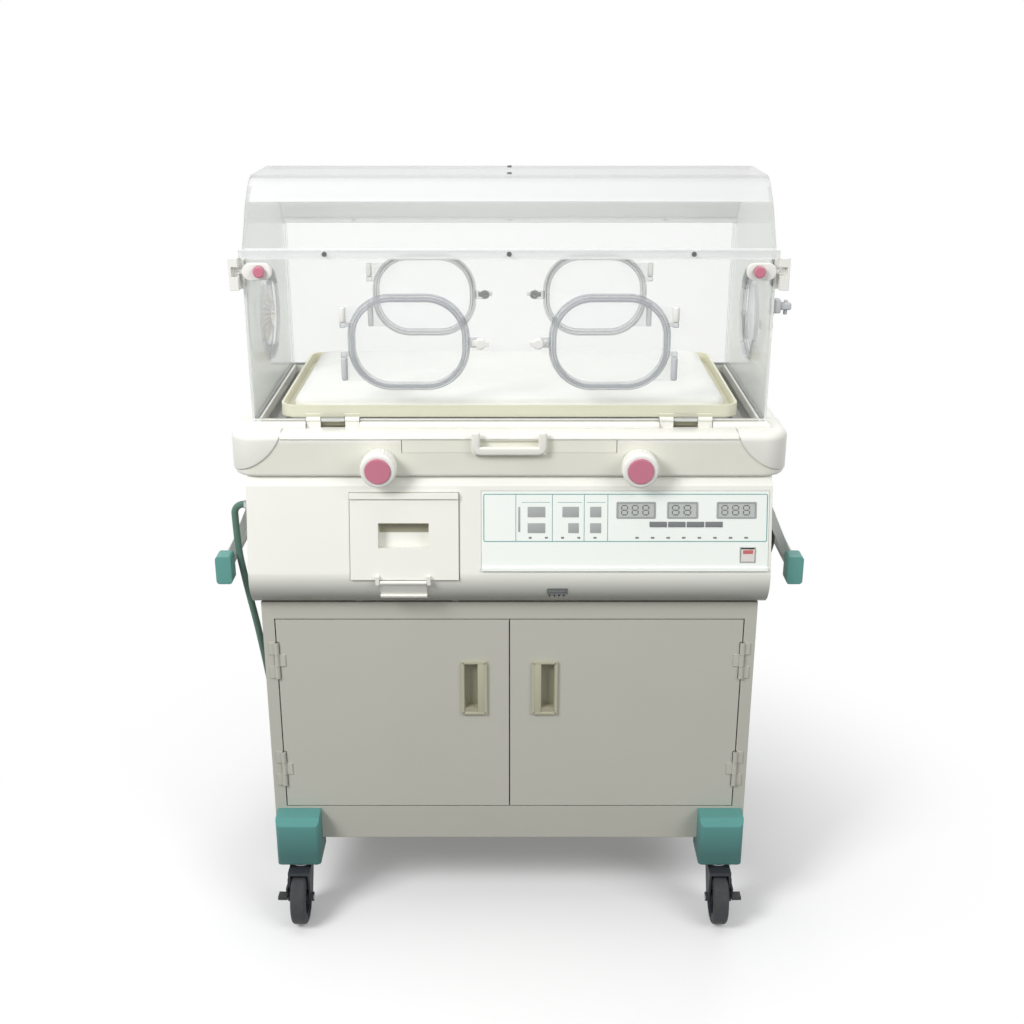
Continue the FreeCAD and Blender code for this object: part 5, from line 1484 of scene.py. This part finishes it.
@dataclass
class Fittings(SubAssembly):
    """The belly grille, the clip on the end wall, the rail screws and the service covers on the back."""

    belly: Point = (82.5, -242.6, 667.2)
    belly_tilt: float = 22.8
    clip: tuple[tuple[Point, Point, float, int], ...] = (
        ((436.2, -146.0, 1129.0), (452.0, -124.0, 1152.0), 3.0, 4),
        ((446.0, -142.0, 1134.0), (470.0, -128.0, 1146.0), 3.0, 4),
        ((435.8, -150.0, 1126.0), (439.5, -120.0, 1155.0), 1.4, 3))
    clip_pin: Pair = (461.0, -135.0)
    rail_y: tuple[float, ...] = (-149.0, -121.0, 211.0, 239.0)
    rail_z: Pair = (787.0, 821.0)
    covers: tuple[Cover, ...] = (
        Cover("rear_service_cover", (-392.0, 180.0), (392.0, 606.0), 285.0, 0, "cabinet_paint"),
        Cover("rear_box_cover", (-404.0, 668.0), (404.0, 838.0), 291.0, 6, "box_paint"))

    def grille(self) -> None:
        """A small dark louvre under the control panel."""
        parts = [Shop.border("grille", 36.0, 15.0, 2.5, 2.0, 1.6, 0.4, 5),
                 Shop.block("back", (-17.0, 1.2, -6.5), (17.0, 1.9, 6.5), 0.1, 1)]
        for z in (-4.0, 0.0, 4.0):
            parts.append(Shop.block("louvre", (-16.2, 0.3, z - 0.8), (16.2, 1.3, z + 0.8), 0.35, 2))
        piece = Shop.assemble("belly_grille", parts, shift(*self.belly) @ turn(self.belly_tilt, "X"))
        self.hand_over(piece, "frame", "key_dark", "black_plastic")

    def end_wall_clip(self) -> None:
        """The pale clip near the front of the right end wall: a body, a tab, a foot and a pin."""
        parts = [Shop.block("part", low, high, soft, steps) for low, high, soft, steps in self.clip]
        parts.append(Shop.rod("pin", 3.4, (*self.clip_pin, 1126.0), (*self.clip_pin, 1150.0), 24, 0.8))
        self.hand_over(Shop.assemble("end_wall_clip", parts), "frame", "hinge_grey", "knob_white")

    def rail_screws(self) -> None:
        """Four domed screws in each foot of the side rails."""
        screws = [Shop.rod("screw", 3.3, (450.5, y, z), (453.5, y, z), 20, 1.1)
                  for y in self.rail_y for z in self.rail_z]
        self.hand_over_pair(Shop.assemble("screws", screws), Side.RIGHT, "rail_screws", "frame", "chrome",
                            "steel")

    def cover(self, cover: Cover) -> None:
        """A plate with its louvres and six screws.

        Args:
            cover: Its sizes.
        """
        (x0, z0), (x1, z1), y = cover.low, cover.high, cover.y
        width, height = x1 - x0, z1 - z0
        plate = Shop.rounded_sheet(cover.name, width, height, 8.0)
        Shop.thicken(plate, 2.0)
        Shop.place(plate, shift((x0 + x1) / 2, y, (z0 + z1) / 2))
        Shop.bevel(plate, 0.7, 2, 50.0)
        parts = [plate]
        for k in range(cover.slots):
            z = z0 + height * 0.3 + k * height * 0.4 / (cover.slots - 1)
            parts.append(Shop.block("louvre", (x0 + width * 0.12, y + 1.0, z - 2.0),
                                    (x0 + width * 0.46, y + 4.2, z + 2.0), 1.3))
        for x in (x0 + 12, (x0 + x1) / 2, x1 - 12):
            for z in (z0 + 12, z1 - 12):
                parts.append(Shop.rod("screw", 4.2, (x, y + 1.5, z), (x, y + 3.6, z), 20, 1.0))
        self.hand_over(Shop.assemble(cover.name, parts), "frame", cover.finish, cover.finish)

    def build(self) -> None:
        """Make them all."""
        self.grille()
        self.end_wall_clip()
        self.rail_screws()
        for cover in self.covers:
            self.cover(cover)


@dataclass
class KnobDress(SubAssembly):
    """Grip ribs round the tilt knobs."""

    x: float = 219.0
    z: float = 884.0
    radius: float = 30.0
    front: float = -234.0
    back: float = -210.0
    rib: float = 0.9
    ribs: int = 30

    def build(self) -> None:
        """One rib copied round each knob."""
        for side in Side:
            first = Shop.block("rib", (self.radius - 1.2, self.front, -self.rib),
                               (self.radius + 0.7, self.back, self.rib), 0.6, 2)
            ribs = [first] + [Shop.copy(first, turn(k * 360.0 / self.ribs, "Y")) for k in range(1, self.ribs)]
            ring = Shop.assemble("tilt_knob_ribs_" + side.tag, ribs,
                                 shift(side.value * self.x, 0.0, self.z))
            self.hand_over(ring, "tilt_knob_" + side.tag, "knob_white", "knob_white")


@dataclass
class CasterDress(SubAssembly):
    """Domed axle caps and the ball race of each caster."""

    x: float = 390.0
    rows: tuple[tuple[str, float], ...] = (("front", -220.0), ("rear", 270.0))
    trail: float = 31.0
    axle_z: float = 50.0
    cap_x: float = 23.0

    def build(self) -> None:
        """A race ring, a neck and two axle caps on each fork."""
        for row, y in self.rows:
            for side in Side:
                x, axle_y = side.value * self.x, y - self.trail
                parts = [Shop.rod("race", 22.0, (x, y, 108.0), (x, y, 113.0), 48, 1.5),
                         Shop.rod("neck", 17.0, (x, y, 112.0), (x, y, 119.3), 48, 1.5)]
                for end in (-1, 1):
                    start = x + end * self.cap_x
                    parts.append(Shop.rod("cap", 6.0, (start, axle_y, self.axle_z),
                                          (start + end * 2.0, axle_y, self.axle_z), 24, 1.2))
                tag = f"{row}_{side.tag}"
                race = Shop.assemble("caster_race_" + tag, parts)
                self.hand_over(race, "caster_fork_" + tag, "chrome", "steel")


@dataclass
class CadFinishes(SubAssembly):
    """The finish of every CAD node that shows."""

    shared: dict[str, str] = field(default_factory=lambda: {
        "cabinet_shell": "cabinet_paint", "caster_covers": "teal", "hinge_pins": "steel",
        "control_housing": "box_shell", "control_panel": "panel_print", "display_windows": "display",
        "circuit_boards": "board", "fan_motor": "aluminium", "fan_impeller": "aluminium",
        "heater": "aluminium", "deck": "deck_paint", "tilt_frame": "steel", "mattress_tray": "cream",
        "cassette_tray": "tray_face", "hood_shell": "clear_roof", "hood_walls": "clear_walls",
        "front_panel": "clear_front", "front_port_rings": "ring_clear", "wall_port_rings": "ring_faint",
        "panel_latch_brackets": "knob_white", "hood_screws": "gasket", "side_rails": "rail_grey",
        "rail_blocks": "teal_block", "side_fittings": "chrome", "oxygen_hose": "hose", "sensor_lead": "lead",
        "water_tank": "port_clear", "tank_latch": "box_paint",
        "panel_button_left": "pink", "panel_button_right": "pink", "iris_ring": "ring_clear",
        "iris_sleeve": "film", "end_port_door": "port_clear", "end_port_latch": "knob_white",
        "brake_pedal_left": "black_plastic", "brake_pedal_right": "black_plastic"})

    def own(self) -> Iterator[tuple[str, Finish]]:
        """The finishes that belong to one node each.

        Yields:
            The node's name and its finish.
        """
        casters = CasterDress(self.palette)
        for row, y in casters.rows:
            for side in Side:
                tag = f"{row}_{side.tag}"
                axle = (side.value * casters.x * MM, (y - casters.trail) * MM, casters.axle_z * MM)
                yield "caster_wheel_" + tag, TyreRubber("tyre_" + tag, shade(38, 41, 47), rough=0.6,
                                                        axle=axle)
        for side in Side:
            knob, door = "tilt_knob_" + side.tag, "cabinet_door_" + side.tag
            yield knob, TwoTone(knob, KNOB_WHITE, rough=0.3, coat=0.2, second=PINK, before=-0.2382,
                                middle=(side.value * 0.219, 0.884), reach=(0.0219, 0.0219), is_round=True)
            # cabinet doors: the second colour fills the pull recess; it is the pull's olive tone, darkened
            # further as painted shade in the recess
            yield door, TwoTone(door, PAINT, rough=0.44, grain=420.0, depth=0.00007, before=-0.1885,
                                second=shade(168, 165, 142), middle=(side.value * 0.063, 0.466),
                                reach=(0.0215, 0.0515))
        # tank_door: the second colour is painted shade in the upper part of the finger slot
        yield "tank_door", TwoTone("tank_door", BOX_WHITE, rough=0.34, coat=0.15, dust=0.02,
                                   second=shade(164, 162, 140), middle=(-0.180, 0.7765),
                                   reach=(0.0425, 0.011))
        yield "power_switch", TwoTone("power_rocker", shade(232, 226, 222), rough=0.35,
                                      second=shade(206, 112, 112), middle=(0.406, 0.7395),
                                      reach=(0.0085, 0.0035))
        yield "base_tray", TwoTone("tray_shell", WHITE, rough=0.36, coat=0.1, second=TRAY_WHITE,
                                   middle=(0.0, 0.8955), reach=(0.452, 0.0265), before=-0.2035)

    def build(self) -> None:
        """Give every node's slots its finish."""
        finishes = {name: self.palette[finish] for name, finish in self.shared.items()}
        finishes.update({name: self.palette.add(finish) for name, finish in self.own()})
        for stem, finish in (("caster_fork", "fork_nylon"), ("port_door", "port_clear"),
                             ("port_latch", "knob_white")):
            for tag in ("front_left", "front_right", "rear_left", "rear_right"):
                finishes[f"{stem}_{tag}"] = self.palette[finish]
        for name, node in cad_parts.items():
            for slot in node.material_slots:
                slot.material = finishes.get(name, slot.material)
        LOG.info("finished %d of %d nodes", len(finishes), len(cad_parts))


@dataclass(frozen=True)
class Lamp:
    """An area lamp: where it hangs, where it aims, its size and its power. Mirrors don't show it."""

    name: str
    place: Point
    aim: Point
    size: Pair
    power: float

    def hang(self) -> None:
        """Put the lamp in the scene."""
        lamp = bpy.data.lights.new(self.name, "AREA")
        lamp.shape = "RECTANGLE"
        lamp.size, lamp.size_y = self.size
        lamp.energy = self.power
        holder = bpy.data.objects.new(self.name, lamp)
        holder.location = self.place
        holder.rotation_euler = (Vector(self.aim) - Vector(self.place)).to_track_quat("-Z", "Y").to_euler()
        holder.visible_glossy = False
        bpy.context.scene.collection.objects.link(holder)


@dataclass
class Studio:
    """The camera, the lamps and the pale floor, which turns to plain white away from the object."""

    eye: Point = (0.0045, -2.3292, 1.5729)
    down: float = 20.34
    lens: float = 46.5
    shift_up: float = 0.0075
    floor_near: float = 0.55
    floor_far: float = 1.15
    floor_size: float = 40.0
    surround: float = 0.34
    lamps: tuple[Lamp, ...] = (
        Lamp("lamp_top", (-0.3, 0.3, 3.4), (0.0, 0.0, 0.8), (2.8, 2.2), 34.0),
        Lamp("lamp_left", (-2.2, -2.2, 2.9), (0.0, 0.0, 0.7), (1.3, 1.3), 92.0),
        Lamp("lamp_right", (2.4, -2.4, 2.7), (0.0, 0.0, 0.8), (2.0, 2.0), 52.0),
        Lamp("lamp_behind", (0.6, 3.3, 1.7), (0.0, 0.0, 0.6), (2.6, 2.2), 42.0))

    def camera(self) -> None:
        """Set the camera at the photograph's place."""
        lens = bpy.data.cameras.new("camera")
        lens.lens = self.lens
        lens.sensor_width = 36.0
        lens.shift_y = self.shift_up
        lens.clip_end = 60.0
        holder = bpy.data.objects.new("camera", lens)
        holder.location = self.eye
        holder.rotation_euler = (math.radians(90.0 - self.down), 0.0, 0.0)
        bpy.context.scene.collection.objects.link(holder)
        bpy.context.scene.camera = holder

    @staticmethod
    def show(sheet: Sheet, lit: Wire, shown: Wire) -> bpy.types.ID:
        """Show one shader to straight, mirrored and let-through rays, and light with the other.

        Args:
            sheet: The nodes of the floor or the world.
            lit: What lights the object.
            shown: What is seen.

        Returns:
            The material or the world.
        """
        names = ("Is Camera Ray", "Is Glossy Ray", "Is Transmission Ray")
        rays = [sheet.node("ShaderNodeLightPath", output=name) for name in names]
        seen = (rays[0] + rays[1] + rays[2]).lowest(1.0)
        return sheet.surface(sheet.node("ShaderNodeMixShader", inputs={0: seen, 1: lit, 2: shown}))

    def floor(self) -> None:
        """Lay a wide pale floor that keeps the object's shadow."""
        sheet = Sheet("floor")
        lit = sheet.node("ShaderNodeBsdfDiffuse", inputs={"Color": (0.17, 0.17, 0.165)})
        near = sheet.node("ShaderNodeBsdfDiffuse", inputs={"Color": (0.92, 0.92, 0.92)})
        far = sheet.node("ShaderNodeEmission", inputs={"Color": (1.0, 1.0, 1.0), "Strength": 1.0})
        x, y, _ = sheet.axes()
        share = sheet.ramp(x.length(y), (self.floor_near, 0.12), (self.floor_far, 1.0), "SMOOTHSTEP")
        shown = sheet.node("ShaderNodeMixShader", inputs={0: share, 1: near, 2: far})
        Shop.take()
        bpy.ops.mesh.primitive_plane_add(size=self.floor_size, location=(0.0, 0.0, -0.0005))
        plane = bpy.context.object
        plane.name = "floor"
        Shop.settle(plane)
        plane.data.materials.append(self.show(sheet, lit, shown))

    def sky(self) -> None:
        """Set an even pale surround, shown as white."""
        sheet = Sheet("surround", is_world=True)
        lit = sheet.node("ShaderNodeBackground",
                         inputs={"Color": (0.98, 0.99, 1.0), "Strength": self.surround})
        shown = sheet.node("ShaderNodeBackground", inputs={"Color": (1.0, 1.0, 1.0), "Strength": 1.0})
        bpy.context.scene.world = self.show(sheet, lit, shown)

    def build(self) -> None:
        """Set the view and the light."""
        bpy.context.scene.view_settings.view_transform = "Standard"
        self.camera()
        for lamp in self.lamps:
            lamp.hang()
        self.floor()
        self.sky()


def main() -> None:
    """Build every sub-assembly in order."""
    palette = Palette()
    Studio().build()
    for kind in (CadFinishes, Mattress, TrayBumper, TrayDetails, PortTrim, LatchCase, ControlPrint,
                 DoorPull, HoodTrim, Fittings, KnobDress, CasterDress):
        kind(palette).build()
    Shop.take()


if __name__ == "__main__":
    main()
